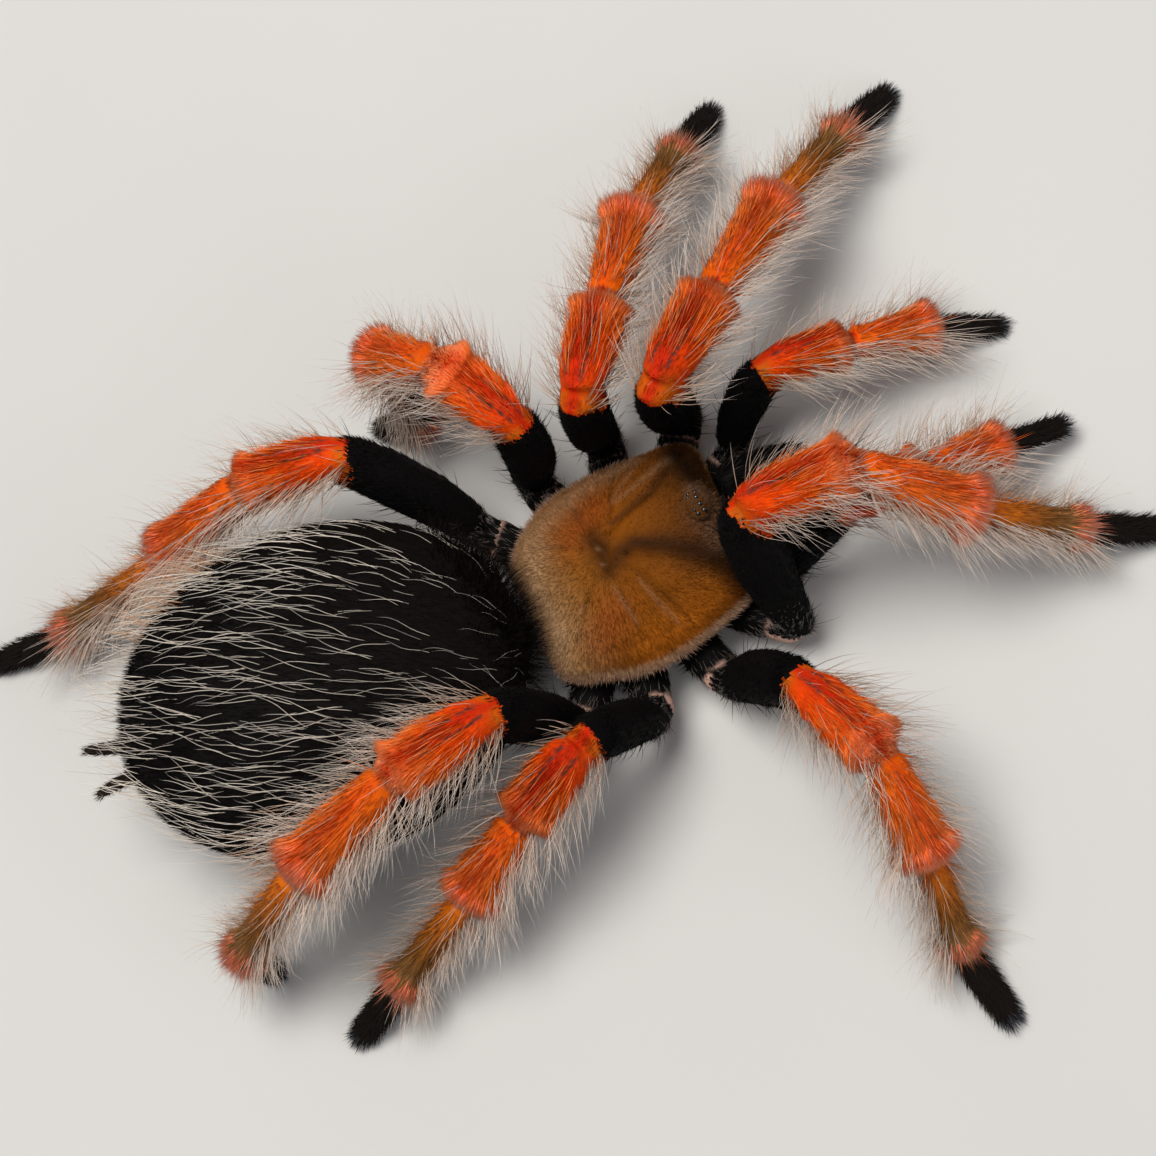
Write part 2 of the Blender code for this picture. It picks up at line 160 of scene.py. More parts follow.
def read_limb(number, side, limb):
    """The segments of a limb and the seams between them."""
    kinds = PALP_KINDS if limb == "palp" else LEG_KINDS
    stem = f"palp_{side}" if limb == "palp" else f"leg_{side}_{limb}"
    names = [f"{stem}_{kind}" for kind in kinds]
    chain = ["sternum_and_coxae"] + names
    seams = [seam_between(a, b) for a, b in zip(chain, chain[1:])]
    joints = [middle for middle, _ in seams]
    foot = node_points(names[-1])
    foot_way = unit(foot.mean(axis=0) - joints[-1])
    joints.append(joints[-1] + foot_way * ((foot - joints[-1]) @ foot_way).max())
    heart = np.array(box_middle("sternum_and_coxae"))
    hip_root = joints[0] + (heart - joints[0]) * HIP_REACH
    joints.insert(0, hip_root)
    bend = sum(np.cross(unit(joints[i + 1] - joints[i]), unit(joints[i + 2] - joints[i + 1]))
               for i in range(1, len(joints) - 2))
    whole = sum(np.linalg.norm(b - a) for a, b in zip(joints, joints[1:]))
    segments, begun = [], 0.0
    for kind, node, start, end in zip(("coxa",) + kinds, chain, joints, joints[1:]):
        axis = unit(end - start)
        if kind == "coxa":
            radius = seams[0][1]
        else:
            away = node_points(node) - start
            radius = float(norms(away - (away @ axis)[:, None] * axis).mean())
        share = np.linalg.norm(end - start) / whole
        back = unit(np.cross(axis, unit(bend)))
        segments.append(Segment(node, kind, number, start, end, back, radius, begun, share))
        begun += share
    return segments, seams


LIMB_PARTS = [read_limb(number, side, limb) for number, (side, limb) in enumerate(LIMBS)]
SEGMENTS = [segment for segments, _ in LIMB_PARTS for segment in segments]
SEAMS = [seam for _, seams in LIMB_PARTS for seam in seams]


def of_segments(field):
    return np.array([getattr(segment, field) for segment in SEGMENTS])


# ---- the camera and the studio

LOOK_AT_FROM_SHIELD = Vector((0.87, 3.94, -0.28))
AZIMUTH, ELEVATION, ROLL = 285.81, 70.56, -44.23
DISTANCE = 270.5
LENS, SENSOR = 99.65, 36.0
FLOOR_HALF = 1.5
# Each light: its way (back, up and right of the subject), its distance and width in metres, its
# watts and its colour
LIGHTS = {
    "key_light": ((0.9, 0.35, -0.35), 0.5, 0.28, 2.5, (1.0, 0.97, 0.92)),
    "fill_light": ((0.8, -0.4, 0.7), 0.6, 0.5, 0.8, (0.97, 0.98, 1.0)),
}
SKY_COLOUR, SKY_STRENGTH = (0.96, 0.97, 1.0, 1.0), 0.3


def put_in(name, data):
    made = bpy.data.objects.new(name, data)
    bpy.context.scene.collection.objects.link(made)
    return made


def build_camera():
    a, e, r = (math.radians(angle) for angle in (AZIMUTH, ELEVATION, ROLL))
    back = Vector((math.sin(a) * math.cos(e), -math.cos(a) * math.cos(e), math.sin(e)))
    level = Vector((math.cos(a), math.sin(a), 0.0))
    rise = back.cross(level)
    right = level * math.cos(r) + rise * math.sin(r)
    top = rise * math.cos(r) - level * math.sin(r)
    target = box_middle("carapace") + LOOK_AT_FROM_SHIELD * MM
    lens = bpy.data.cameras.new("camera")
    lens.lens, lens.sensor_width = LENS, SENSOR
    lens.clip_start = 0.01
    camera = put_in("camera", lens)
    turned = Matrix((right, top, back)).transposed().to_4x4()
    camera.matrix_world = Matrix.Translation(target + back * DISTANCE * MM) @ turned
    bpy.context.scene.camera = camera
    return target, right, top, back


def build_studio(target, right, top, back):
    """A pale floor, a large soft key light and a weaker fill."""
    shape = bmesh.new()
    bmesh.ops.create_grid(shape, x_segments=2, y_segments=2, size=FLOOR_HALF)
    floor = add_piece("studio_floor", shape, paper_floor())
    for name, ((behind, above, aside), distance, size, power, tint) in LIGHTS.items():
        place = target + (back * behind + top * above + right * aside) * distance
        lamp = bpy.data.lights.new(name, "AREA")
        lamp.shape, lamp.size, lamp.energy, lamp.color = "DISK", size, power, tint
        light = put_in(name, lamp)
        light.location = place
        light.rotation_euler = (target - place).to_track_quat("-Z", "Y").to_euler()
    world = bpy.data.worlds.new("studio")
    world.use_nodes = True
    sky = world.node_tree.nodes["Background"].inputs
    sky["Color"].default_value = SKY_COLOUR
    sky["Strength"].default_value = SKY_STRENGTH
    bpy.context.scene.world = world
    bpy.context.scene.view_settings.view_transform = "Standard"


# ---- materials

# The sizes of the patterns: tones of paper, clouds in skin and in horn, and hair sockets, which are
# drawn further apart than they are so that they show
PAPER_CLOUD, SKIN_CLOUD, HORN_CLOUD, SOCKET_SPACING = 25.0, 2.5, 10 / 9, 0.25
SOCKET_DEPTH = 0.1


def scale_of(size):
    return 1.0 / (size * MM)


def colour(hex_code):
    """An sRGB hex colour as linear red, green, blue and alpha."""
    values = [int(hex_code[i:i + 2], 16) / 255 for i in (1, 3, 5)]
    return (*[v / 12.92 if v <= 0.04045 else ((v + 0.055) / 1.055) ** 2.4 for v in values], 1.0)


def add(tree, kind, output, inputs=(), stops=(), **settings):
    """Adds a node, with its settings, the values or links of its inputs and its colour stops, and
    gives back one of its outputs."""
    node = tree.nodes.new("ShaderNode" + kind)
    for key, value in settings.items():
        setattr(node, key, value)
    for key, value in dict(inputs).items():
        if isinstance(value, bpy.types.NodeSocket):
            tree.links.new(value, node.inputs[key])
        else:
            node.inputs[key].default_value = value
    for index, (place, value) in enumerate(stops):
        ends = node.color_ramp.elements
        stop = ends[index] if index < len(ends) else ends.new(place)
        stop.position, stop.color = place, value
    return node.outputs[output]


def new_material(name, roughness, **sockets):
    """A material, its nodes and the inputs of its shader, with their even values."""
    material = bpy.data.materials.new(name)
    material.use_nodes = True
    shader = material.node_tree.nodes["Principled BSDF"].inputs
    for key, value in (("Roughness", roughness), *sockets.items()):
        shader[key.replace("_", " ")].default_value = value
    return material, material.node_tree, shader


def paper_floor():
    """Matt studio paper: even and pale, with no gloss."""
    material, tree, shader = new_material("studio paper", 0.9)
    grain = add(tree, "TexNoise", "Fac", {"Scale": scale_of(PAPER_CLOUD), "Detail": 3.0})
    ends = {"Factor": grain, "A": colour("#c9c8c6"), "B": colour("#d3d2d0")}
    tree.links.new(add(tree, "Mix", "Result", ends, data_type="RGBA"), shader["Base Color"])
    return material


def markings(tree, stops, marks):
    """The colour along a part, as stops or as its two ends, with its marks laid over it."""
    if isinstance(stops, tuple):
        stops = enumerate(stops)
    place = add(tree, "Attribute", "Fac", attribute_name="place")
    painted = add(tree, "ValToRGB", "Color", {"Fac": place}, [(p, colour(c)) for p, c in stops])
    for name, hex_code in dict(marks).items():
        mark = add(tree, "Attribute", "Fac", attribute_name=name)
        ends = {"Factor": mark, "A": painted, "B": colour(hex_code)}
        painted = add(tree, "Mix", "Result", ends, data_type="RGBA")
    return painted


def deepened(tree, painted, share, low, high):
    """A colour made darker or lighter, between two factors, by a share from 0 to 1."""
    depth = add(tree, "MapRange", "Result", {"Value": share, "To Min": low, "To Max": high})
    return add(tree, "HueSaturation", "Color", {"Color": painted, "Value": depth})


def setae(name, stops, tips, tip_share=0.5, spread=0.35, roughness=0.5, gloss=0.5, marks=()):
    """Hairs of chitin: each differs a little in depth, and the paler tips give a combed look. The tips are
    the setae's own paler colour, and the darker roots are also painted shade deep in the coat.
    """
    material, tree, shader = new_material(name, roughness, Specular_IOR_Level=gloss)
    painted = markings(tree, stops, marks)
    tone, strand = (add(tree, "Attribute", "Fac", attribute_name=name) for name in ("tone", "strand"))
    varied = deepened(tree, painted, tone, 1.0 - spread, 1.0 + spread)
    tip = add(tree, "MapRange", "Result", {"Value": strand, "From Min": 0.35, "To Max": tip_share})
    ends = {"Factor": tip, "A": varied, "B": colour(tips)}
    tree.links.new(add(tree, "Mix", "Result", ends, data_type="RGBA"), shader["Base Color"])
    return material


def cuticle(name, stops, marks=()):
    """The skin of a spider: chitin whose hair sockets dull it and give it a fine grain."""
    material, tree, shader = new_material(name, 0.75, Specular_IOR_Level=0.1)
    painted = markings(tree, stops, marks)
    place = add(tree, "TexCoord", "Object")
    grain = {"Vector": place, "Scale": scale_of(SOCKET_SPACING)}
    clouds = {"Vector": place, "Scale": scale_of(SKIN_CLOUD), "Detail": 4.0}
    sockets = add(tree, "TexVoronoi", "Distance", grain)
    cloud = add(tree, "TexNoise", "Fac", clouds)
    varied = deepened(tree, painted, cloud, 0.6, 1.2)
    relief = {"Height": sockets, "Strength": 0.3, "Distance": SOCKET_DEPTH * MM}
    tree.links.new(varied, shader["Base Color"])
    tree.links.new(add(tree, "Bump", "Normal", relief), shader["Normal"])
    return material


def horn(name, hex_code, roughness, coat=0.0):
    """Bare polished chitin: dark and glossy, with a faint cloudy depth."""
    material, tree, shader = new_material(name, roughness, Coat_Weight=coat, Coat_Roughness=0.05)
    place = add(tree, "TexCoord", "Object")
    clouds = {"Vector": place, "Scale": scale_of(HORN_CLOUD), "Detail": 3.0}
    cloud = add(tree, "TexNoise", "Fac", clouds)
    tree.links.new(deepened(tree, colour(hex_code), cloud, 0.7, 1.3), shader["Base Color"])
    return material


# ---- pieces

def sort_faces(shape):
    """Sorts faces by their corners, since some operators leave them in no set order."""
    count = len(shape.verts)

    def rank(face):
        a, b, c = sorted(vert.index for vert in face.verts)[:3]
        return (a * count + b) * count + c

    shape.verts.index_update()
    shape.faces.sort(key=rank)


def to_mesh(shape):
    mesh = bpy.data.meshes.new("shape")
    shape.to_mesh(mesh)
    shape.free()
    return mesh


def add_piece(name, mesh, *materials):
    """Turns a mesh, or a bmesh with its faces sorted, into an object at the origin."""
    if isinstance(mesh, bmesh.types.BMesh):
        sort_faces(mesh)
        mesh = to_mesh(mesh)
    mesh.name = name
    for material in materials:
        mesh.materials.append(material)
    mesh.shade_smooth()
    return put_in(name, mesh)


def settle(piece, slot, *nodes):
    """Puts a piece on the one body and hides the solids it stands for. Its slot is not used."""
    if nodes:
        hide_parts(*nodes)
    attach(piece, "root")
    return piece


def shrunk_copy(shape, node, depth):
    """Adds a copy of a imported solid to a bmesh, drawn in by a depth."""
    copy = bmesh.new()
    copy.from_mesh(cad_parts[node].data)
    bmesh.ops.remove_doubles(copy, verts=copy.verts, dist=0.01 * MM)
    copy.normal_update()
    moves = [(vert, vert.co - vert.normal * depth * MM) for vert in copy.verts]
    for vert, place in moves:
        vert.co = place
    mesh = to_mesh(copy)
    shape.from_mesh(mesh)
    bpy.data.meshes.remove(mesh)


def cast_in_one(shape, voxel, smoothing):
    """One closed, even and smoothed mesh round everything in a bmesh."""
    mesh = to_mesh(shape)
    piece = put_in("cast", mesh)
    remesh = piece.modifiers.new("remesh", "REMESH")
    remesh.mode, remesh.voxel_size = "VOXEL", voxel * MM
    relax = piece.modifiers.new("relax", "SMOOTH")
    relax.factor, relax.iterations = 0.5, smoothing
    graph = bpy.context.evaluated_depsgraph_get()
    result = bpy.data.meshes.new_from_object(piece.evaluated_get(graph))
    bpy.data.objects.remove(piece)
    bpy.data.meshes.remove(mesh)
    return result


def cast_copies(nodes, depth, voxel, smoothing):
    """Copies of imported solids, drawn in by a depth, in one even mesh."""
    shape = bmesh.new()
    for node in nodes:
        shrunk_copy(shape, node, depth)
    return cast_in_one(shape, voxel, smoothing)


def drawn_out(shape, face, keep=False):
    """Draws one more ring out of a face, and gives back the face at its end."""
    made = bmesh.ops.extrude_face_region(shape, geom=[face])["geom"]
    if face.is_valid and not keep:
        shape.faces.remove(face)
    return next(item for item in made if isinstance(item, bmesh.types.BMFace))


def set_value(mesh, name, values):
    """Stores a number for each point of a mesh."""
    layer = mesh.attributes.new(name, "FLOAT", "POINT")
    layer.data.foreach_set("value", np.asarray(values, np.float32))


def move(mesh, points):
    mesh.vertices.foreach_set("co", points.ravel())
    mesh.update()


def set_marks(mesh, found, corners=1):
    """Stores the marks of each place, for so many points at each place."""
    for name in MARKS:
        if hasattr(found, name):
            set_value(mesh, name, np.repeat(getattr(found, name), corners))


# ---- places on the body

def fade(values, start, end):
    """A soft step from 0 at the start to 1 at the end, which may lie before the start."""
    share = np.clip((values - start) / (end - start), 0.0, 1.0)
    return share * share * (3.0 - 2.0 * share)


def nearest_segments(points):
    """For each point: the nearest segment, how far out it lies in radii, how far along from 0 to 1,
    the turn from its back, and how far past the end in radii."""
    count = len(points)
    gaps = np.empty((len(SEGMENTS), count))
    claims = np.empty((len(SEGMENTS), count))
    for number, segment in enumerate(SEGMENTS):
        away = points - segment.start
        run = away @ segment.axis
        inside = np.clip(run, 0.0, segment.length)
        gaps[number] = norms(away - inside[:, None] * segment.axis) - segment.radius
        claims[number] = gaps[number] + np.abs(run - inside)
        if segment.kind == "patella":
            claims[number] -= CLAIM_OF_PATELLA * MM
    limbs = of_segments("limb")
    nearest_limb = limbs[np.argmin(gaps, axis=0)]
    claims[limbs[:, None] != nearest_limb] = np.inf
    index = np.argmin(claims, axis=0)
    ratio = 1.0 + gaps[index, np.arange(count)] / of_segments("radius")[index]
    along, turn, past = np.empty((3, count))
    for number, segment in enumerate(SEGMENTS):
        chosen = index == number
        away = points[chosen] - segment.start
        side = np.cross(segment.axis, segment.back)
        lap = CLAIM_OF_PATELLA / 2 * MM * (segment.kind == "patella")
        along[chosen] = np.clip((away @ segment.axis + lap) / (segment.length + lap), 0.0, 1.0)
        turn[chosen] = turns(away @ side, away @ segment.back)
        past[chosen] = np.maximum(away @ segment.axis - segment.length, 0.0) / segment.radius
    return index, ratio, along, turn, past


ABDOMEN_LOW, ABDOMEN_HIGH = (np.array(corner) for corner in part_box("abdomen"))
ABDOMEN_MIDDLE = (ABDOMEN_LOW + ABDOMEN_HIGH) / 2
ABDOMEN_HALVES = (ABDOMEN_HIGH - ABDOMEN_LOW) / 2
ABDOMEN_REACH = 1.12        # how far out its skin goes, in halves of its box
WAIST = np.array(box_middle("pedicel"))
# Where the hairs of the abdomen all point to, far behind it
HAIRS_MEET = ABDOMEN_MIDDLE + np.array((30.0, 52.0, 0.0)) * MM
LIMB_REACH = 1.22           # beyond this many radii a point belongs to the trunk
ROOT_OF_FEMUR = 0.25        # share of a femur that may touch the trunk
CLAIM_OF_PATELLA = 1.3      # by which the coat of a patella laps over its neighbours
# BALL_SHADE is how strongly painted shade darkens the crease on the round end of a segment, past its joint
BALL, BALL_SHADE = (0.08, 0.4), 0.45    # the round end of a segment, in radii past its joint
RIDGE_WIDTH = 0.07          # turns each way that the line along the back spreads
UNDER = (0.36, 0.44)        # turns from the back where the underside of a limb begins
PARTINGS = (-0.055, 0.035)  # turns from the back, where the patella's coat parts
PARTING_WIDTH = 0.009
HIP_SEAM = (0.79, 0.84)     # where the bare rim of a hip begins


def of_kind(found, *kinds):
    return np.isin(found.kind, [KINDS.index(kind) for kind in kinds])


def survey(points):
    """Which part each point of the skin belongs to, where it lies on it, and its marks."""
    index, ratio, along, turn, past = nearest_segments(points)
    place = (points - ABDOMEN_MIDDLE) / ABDOMEN_HALVES
    found = SimpleNamespace(segment=index, turn=turn, spot=place)
    found.kind = np.array([KINDS.index(segment.kind) for segment in SEGMENTS])[index]
    near_trunk = of_kind(found, "coxa") | (of_kind(found, "femur") & (along < ROOT_OF_FEMUR))
    clear = ratio > LIMB_REACH
    on_abdomen = (norms(place) < ABDOMEN_REACH) & (points[:, 1] > WAIST[1])
    found.kind[clear & near_trunk] = KINDS.index("underside")
    found.kind[(clear | of_kind(found, "coxa")) & on_abdomen] = KINDS.index("abdomen")
    abdomen = of_kind(found, "abdomen")
    found.lie = of_segments("axis")[index]
    found.lie[of_kind(found, "underside")] = (0.0, 1.0, 0.0)
    found.lie[abdomen] = HAIRS_MEET - points[abdomen]
    found.lie[abdomen] /= norms(found.lie[abdomen])[:, None]
    along[abdomen] = (place[abdomen, 1] + 1) / 2
    found.place = along
    found.ridge = np.exp(-(turn / RIDGE_WIDTH) ** 2)
    found.on_ball = fade(past, *BALL) * of_kind(found, *BELLS)
    # The underside of a limb is darker, and painted shade darkens the crease on the round end of each segment
    # past its joint
    found.under = np.maximum(fade(np.abs(turn), *UNDER), BALL_SHADE * found.on_ball)
    nearest = np.min([np.abs(turn - line) for line in PARTINGS], axis=0)
    parting = np.exp(-(nearest / PARTING_WIDTH) ** 4) * fade(along, 0.78, 0.6) * fade(along, 0.02, 0.12)
    found.parting = parting * of_kind(found, "patella")
    found.seam = of_kind(found, "coxa") * fade(along, *HIP_SEAM)
    found.unwrap = unwrap(found)
    return found


def unwrap(found):
    """A flat unwrap of the skin: a strip for each limb, and a sheet for the abdomen."""
    limb, begun, share = (of_segments(field)[found.segment] for field in ("limb", "begun", "share"))
    across = (limb + 0.05 + 0.9 * (found.turn + 0.5)) / len(LIMBS)
    down = 0.01 + 0.58 * (begun + share * found.place)
    abdomen = of_kind(found, "abdomen")
    spot = found.spot[abdomen]
    across[abdomen] = 0.02 + 0.96 * (turns(spot[:, 0], spot[:, 2]) + 0.5)
    down[abdomen] = 0.62 + 0.36 * np.clip((spot[:, 1] + 1) / 2, 0.0, 1.0)
    return np.stack([across, down], axis=1)


# ---- the skin

SKIN_VOXEL, SKIN_SMOOTHING = 0.38, 5
SEAM_SHARE, WAIST_SPARE = 0.82, 0.4     # the balls that join the flesh inside each seam
LIP, LIP_PLACE, LIP_WIDTH = 0.36, 0.9, 0.07     # the rim at the end of a segment
NECK = 0.42                             # how far the start of a segment is drawn in
KNEE_ROUNDS = 20
FLESH = {"sternum_and_coxae": "coxa", "pedicel": "pedicel", "abdomen": "abdomen"}


def eased(mesh, points, weight, rounds):
    """The points, each drawn by its weight towards the middle of its neighbours."""
    ends = read(mesh.edges, "vertices", 2, np.int32)
    here, there = np.concatenate([ends, ends[:, ::-1]]).T
    neighbours = np.bincount(here, minlength=len(points))
    for _ in range(rounds):
        middle = np.stack([np.bincount(here, points[there, axis]) for axis in range(3)], axis=1)
        points = points + 0.5 * weight[:, None] * (middle / neighbours[:, None] - points)
    return points


def build_skin():
    shape = bmesh.new()
    limb_segments = [segment for segment in SEGMENTS if segment.kind != "coxa"]
    for node, kind in FLESH.items():
        shrunk_copy(shape, node, COAT_DEPTH[kind])
    for segment in limb_segments:
        shrunk_copy(shape, segment.node, COAT_DEPTH[segment.kind])
    balls = [(middle, radius * SEAM_SHARE) for middle, radius in SEAMS]
    for node in ("sternum_and_coxae", "abdomen"):
        middle, radius = seam_between("pedicel", node)
        balls.append((middle, radius + WAIST_SPARE * MM))
    for middle, radius in balls:
        bmesh.ops.create_icosphere(shape, subdivisions=2, radius=radius,
                                   matrix=Matrix.Translation(middle))
    mesh = cast_in_one(shape, SKIN_VOXEL, SKIN_SMOOTHING)
    points = points_of(mesh)
    found = survey(points)
    normals = read(mesh.vertices, "normal", 3)
    place = found.place
    knee = fade(place, 0.84, 0.94) * of_kind(found, "femur")
    knee = knee + fade(place, 0.24, 0.12) * of_kind(found, "patella")
    points = eased(mesh, points, knee, KNEE_ROUNDS)
    lip = LIP * np.exp(-((place - LIP_PLACE) / LIP_WIDTH) ** 2) * of_kind(found, *BELLS)
    start = fade(place, 0.14, 0.02) * of_kind(found, "tibia", "metatarsus", "tarsus")
    neck = NECK * (start + found.on_ball)
    points = points + normals * (lip - neck)[:, None] * MM
    move(mesh, points)
    set_marks(mesh, found)
    first = read(mesh.loops, "vertex_index", kind=np.int32)
    corners = read(mesh.polygons, "loop_start", kind=np.int32)
    skin = add_piece("skin", mesh, *[SKIN_FINISH[kind] for kind in KINDS])
    mesh.polygons.foreach_set("material_index", found.kind[first[corners]].astype(np.int32))
    return settle(skin, "black_velvet", *FLESH, *[segment.node for segment in limb_segments])


# ---- the head shield

SHIELD_TILT = Matrix.Rotation(math.radians(3.7), 3, "X") @ Matrix.Rotation(math.radians(3.2), 3, "Y")
SHIELD_MIDDLE = np.array(box_middle("carapace")) + np.array((0.03, 0.07, -1.28)) * MM
SHIELD_HALVES = (9.3, 9.8)
SHIELD_VOXEL, SHIELD_SMOOTHING = 0.2, 6
SHIELD_UNWRAP = 0.46

# Lines on the shield, as places (to its left, to its rear) and half widths
FOVEA = [(-1.0, 1.35, 0.3), (0.4, 0.9, 0.5), (1.8, 1.35, 0.3)]
FOVEA_PATCH = [(2.1, 1.3, 1.1), (1.0, 0.9, 1.2), (-1.2, 1.3, 1.0), (-0.4, 0.1, 1.3), (-0.1, -1.6, 0.9)]
HEAD_GROOVES = [
    [(2.0, -0.2, 0.3), (2.7, -2.0, 0.4), (3.4, -4.9, 0.45), (5.4, -8.2, 0.5)],
    [(-0.6, -0.8, 0.3), (-2.0, -3.2, 0.4), (-3.4, -5.4, 0.45), (-5.6, -8.2, 0.5)],
]
RAY_GROOVES = [
    [(-1.6, 1.3, 0.25), (-3.0, 1.25, 0.35), (-7.2, 1.3, 0.25)],
    [(-1.6, -0.2, 0.25), (-3.0, -1.1, 0.35), (-7.4, -2.8, 0.25)],
    [(-1.0, 2.4, 0.2), (-2.6, 4.2, 0.3), (-4.8, 6.4, 0.2)],
    [(2.6, 1.3, 0.25), (3.8, 1.4, 0.35), (7.6, 1.8, 0.25)],
    [(2.8, -0.4, 0.25), (3.8, -1.2, 0.35), (7.4, -3.0, 0.25)],
    [(1.8, 2.4, 0.2), (3.2, 4.2, 0.3), (5.0, 6.4, 0.2)],
]
# Painted shade along the two head grooves: a broad wedge beside the right one and a line beside the left one
SHADE_RIGHT_HEAD_GROOVE = [(-0.1, -1.6, 0.7), (-2.1, -4.6, 1.3), (-5.9, -8.8, 2.0)]
SHADE_LEFT_HEAD_GROOVE = [(2.5, -0.8, 0.3), (3.3, -4.9, 0.6), (5.4, -8.4, 1.0)]
# Across the front: partly the dark eye region, partly painted shadow cast by the palps and first legs
DARK_AND_SHADOWED_FRONT = [(6.0, -8.2, 1.3), (4.2, -8.4, 1.6), (2.2, -8.8, 1.0), (-1.6, -9.6, 0.6), (-4.6, -9.2, 1.0)]
FUZZY_FRONT = [(1.6, -8.2, 0.7), (-0.6, -8.4, 1.4), (-3.0, -8.3, 1.0)]
PALE_STREAKS = [
    [(4.1, -2.0, 0.25), (4.9, -5.0, 0.4), (5.6, -7.4, 0.4)],
    [(4.4, -1.6, 0.2), (5.9, -3.6, 0.35), (6.8, -5.0, 0.25)],
    [(-2.6, 1.5, 0.15), (-4.2, 1.4, 0.22), (-5.9, 1.2, 0.15)],
    [(-3.0, -0.6, 0.15), (-5.2, -1.1, 0.25), (-7.4, -1.8, 0.2)],
    [(-2.6, 4.4, 0.15), (-3.2, 5.8, 0.22), (-3.7, 7.2, 0.3)],
]
BLUSHES = [[(-4.6, 2.6, 1.7), (-5.8, 4.4, 2.0)], [(4.6, 0.2, 1.8), (3.4, 2.8, 2.0)]]
PALE_MARGIN = [(7.8, -4.5, 1.0), (7.6, 0.5, 1.4), (6.2, 5.5, 1.7), (1.0, 7.6, 1.3), (-3.6, 7.4, 1.2)]
BRIGHT_SIDE = [(-6.8, -5.6, 1.5), (-8.0, -2.4, 1.8), (-8.0, 1.2, 1.6)]
PALE_SPOTS = [[(1.1, 1.25, 0.18), (1.2, 1.3, 0.18)], [(-0.3, 1.45, 0.14), (-0.35, 1.5, 0.14)]]

# The strength of each dark and pale mark, and the depth of each groove. Of the dark marks, the fovea's patch
# is the shield's own colour, the dark in the head and radial grooves is painted shade, and the dark at the
# front is partly painted shadow of the palps and first legs
DARK_MARKS = [(0.8, [SHADE_RIGHT_HEAD_GROOVE]), (0.6, [SHADE_LEFT_HEAD_GROOVE]), (0.95, [DARK_AND_SHADOWED_FRONT]), (0.75, [FOVEA_PATCH]),
              (0.25, RAY_GROOVES)]
PALE_MARKS = [(0.25, PALE_SPOTS), (0.13, PALE_STREAKS), (0.34, [PALE_MARGIN])]
GROOVES = [(0.5, [FOVEA]), (0.3, HEAD_GROOVES), (0.16, RAY_GROOVES)]


def on_shield(points):
    """Places in the shield's own frame: to its left, to its rear, and up."""
    return (points - SHIELD_MIDDLE) / MM @ np.array(SHIELD_TILT)


def stroke(places, line):
    """How strongly a soft line marks each place, from 0 to 1."""
    best = np.zeros(len(places))
    for (x, y, width), (next_x, next_y, next_width) in zip(line, line[1:]):
        start, run = np.array((x, y)), np.array((next_x - x, next_y - y))
        share = np.clip((places[:, :2] - start) @ run / (run @ run), 0.0, 1.0)
        gap = norms(places[:, :2] - start - share[:, None] * run)
        best = np.maximum(best, np.exp(-(gap / (width + (next_width - width) * share)) ** 2))
    return best


def strokes(places, lines):
    return np.max([stroke(places, line) for line in lines], axis=0)


def strongest(places, marks):
    return np.max([strength * strokes(places, lines) for strength, lines in marks], axis=0)


def survey_shield(points):
    """The lie of the shield's velvet, out from the fovea, and its marks."""
    places = on_shield(points)
    rear, height = places[:, 1], places[:, 2]
    out = places[:, :2] - (0.4, 1.0)
    reach = norms(out)
    lie = np.concatenate([out / np.maximum(reach, 0.01)[:, None], np.zeros((len(out), 1))], axis=1)
    lie[:, 1] -= 0.9 * fade(rear, -1.0, -4.0)
    away = points - SHIELD_MIDDLE
    round_way = np.arctan2(away[:, 0], away[:, 1])
    down = np.arccos(np.clip(away[:, 2] / norms(away), -1.0, 1.0)) / math.pi
    flat = 0.5 + SHIELD_UNWRAP * down[:, None] * np.stack([np.sin(round_way), np.cos(round_way)], axis=1)
    return SimpleNamespace(
        place=np.clip((rear + 10.0) / 20.0, 0.0, 1.0),
        # The dark mark: the fovea's patch, painted shade in the grooves and, at the front, the dark eye
        # region with painted shadow of the palps and first legs
        dark=strongest(places, DARK_MARKS) * fade(height, 0.5, 1.8),
        pale=strongest(places, PALE_MARKS) * (1.0 - fade(rear, -7.4, -8.6)),
        rim=fade(height, 0.8, 0.1),
        fuzz=0.7 * (stroke(places, FUZZY_FRONT) * fade(height, 1.5, 2.5)),
        blush=0.42 * strokes(places, BLUSHES),
        bright=0.8 * stroke(places, BRIGHT_SIDE),
        lie=lie @ np.array(SHIELD_TILT).T, unwrap=flat, spot=places)


# How far the rim stands out from an even oval, as (turns from the rear, width in turns, mm)
RIM_CORNERS = [(0.0, 0.045, -0.6), (0.085, 0.03, 0.3), (-0.1, 0.04, 1.1), (-0.24, 0.1, 0.45),
               (0.4, 0.035, 0.7), (-0.4, 0.035, 0.3)]


def shape_rim(places):
    """Places of the shield, with the corners of its rim drawn out and its rear edge in."""
    reach = np.hypot(*(places[:, :2] / SHIELD_HALVES).T)
    turn = turns(places[:, 0], places[:, 1])
    out = sum(mm * np.exp(-((turn - middle) / width) ** 2) for middle, width, mm in RIM_CORNERS)
    way = places[:, :2] / np.maximum(np.hypot(places[:, 0], places[:, 1]), 0.01)[:, None]
    shaped = places.copy()
    shaped[:, :2] += way * (out * fade(reach, 0.45, 1.0))[:, None]
    return shaped


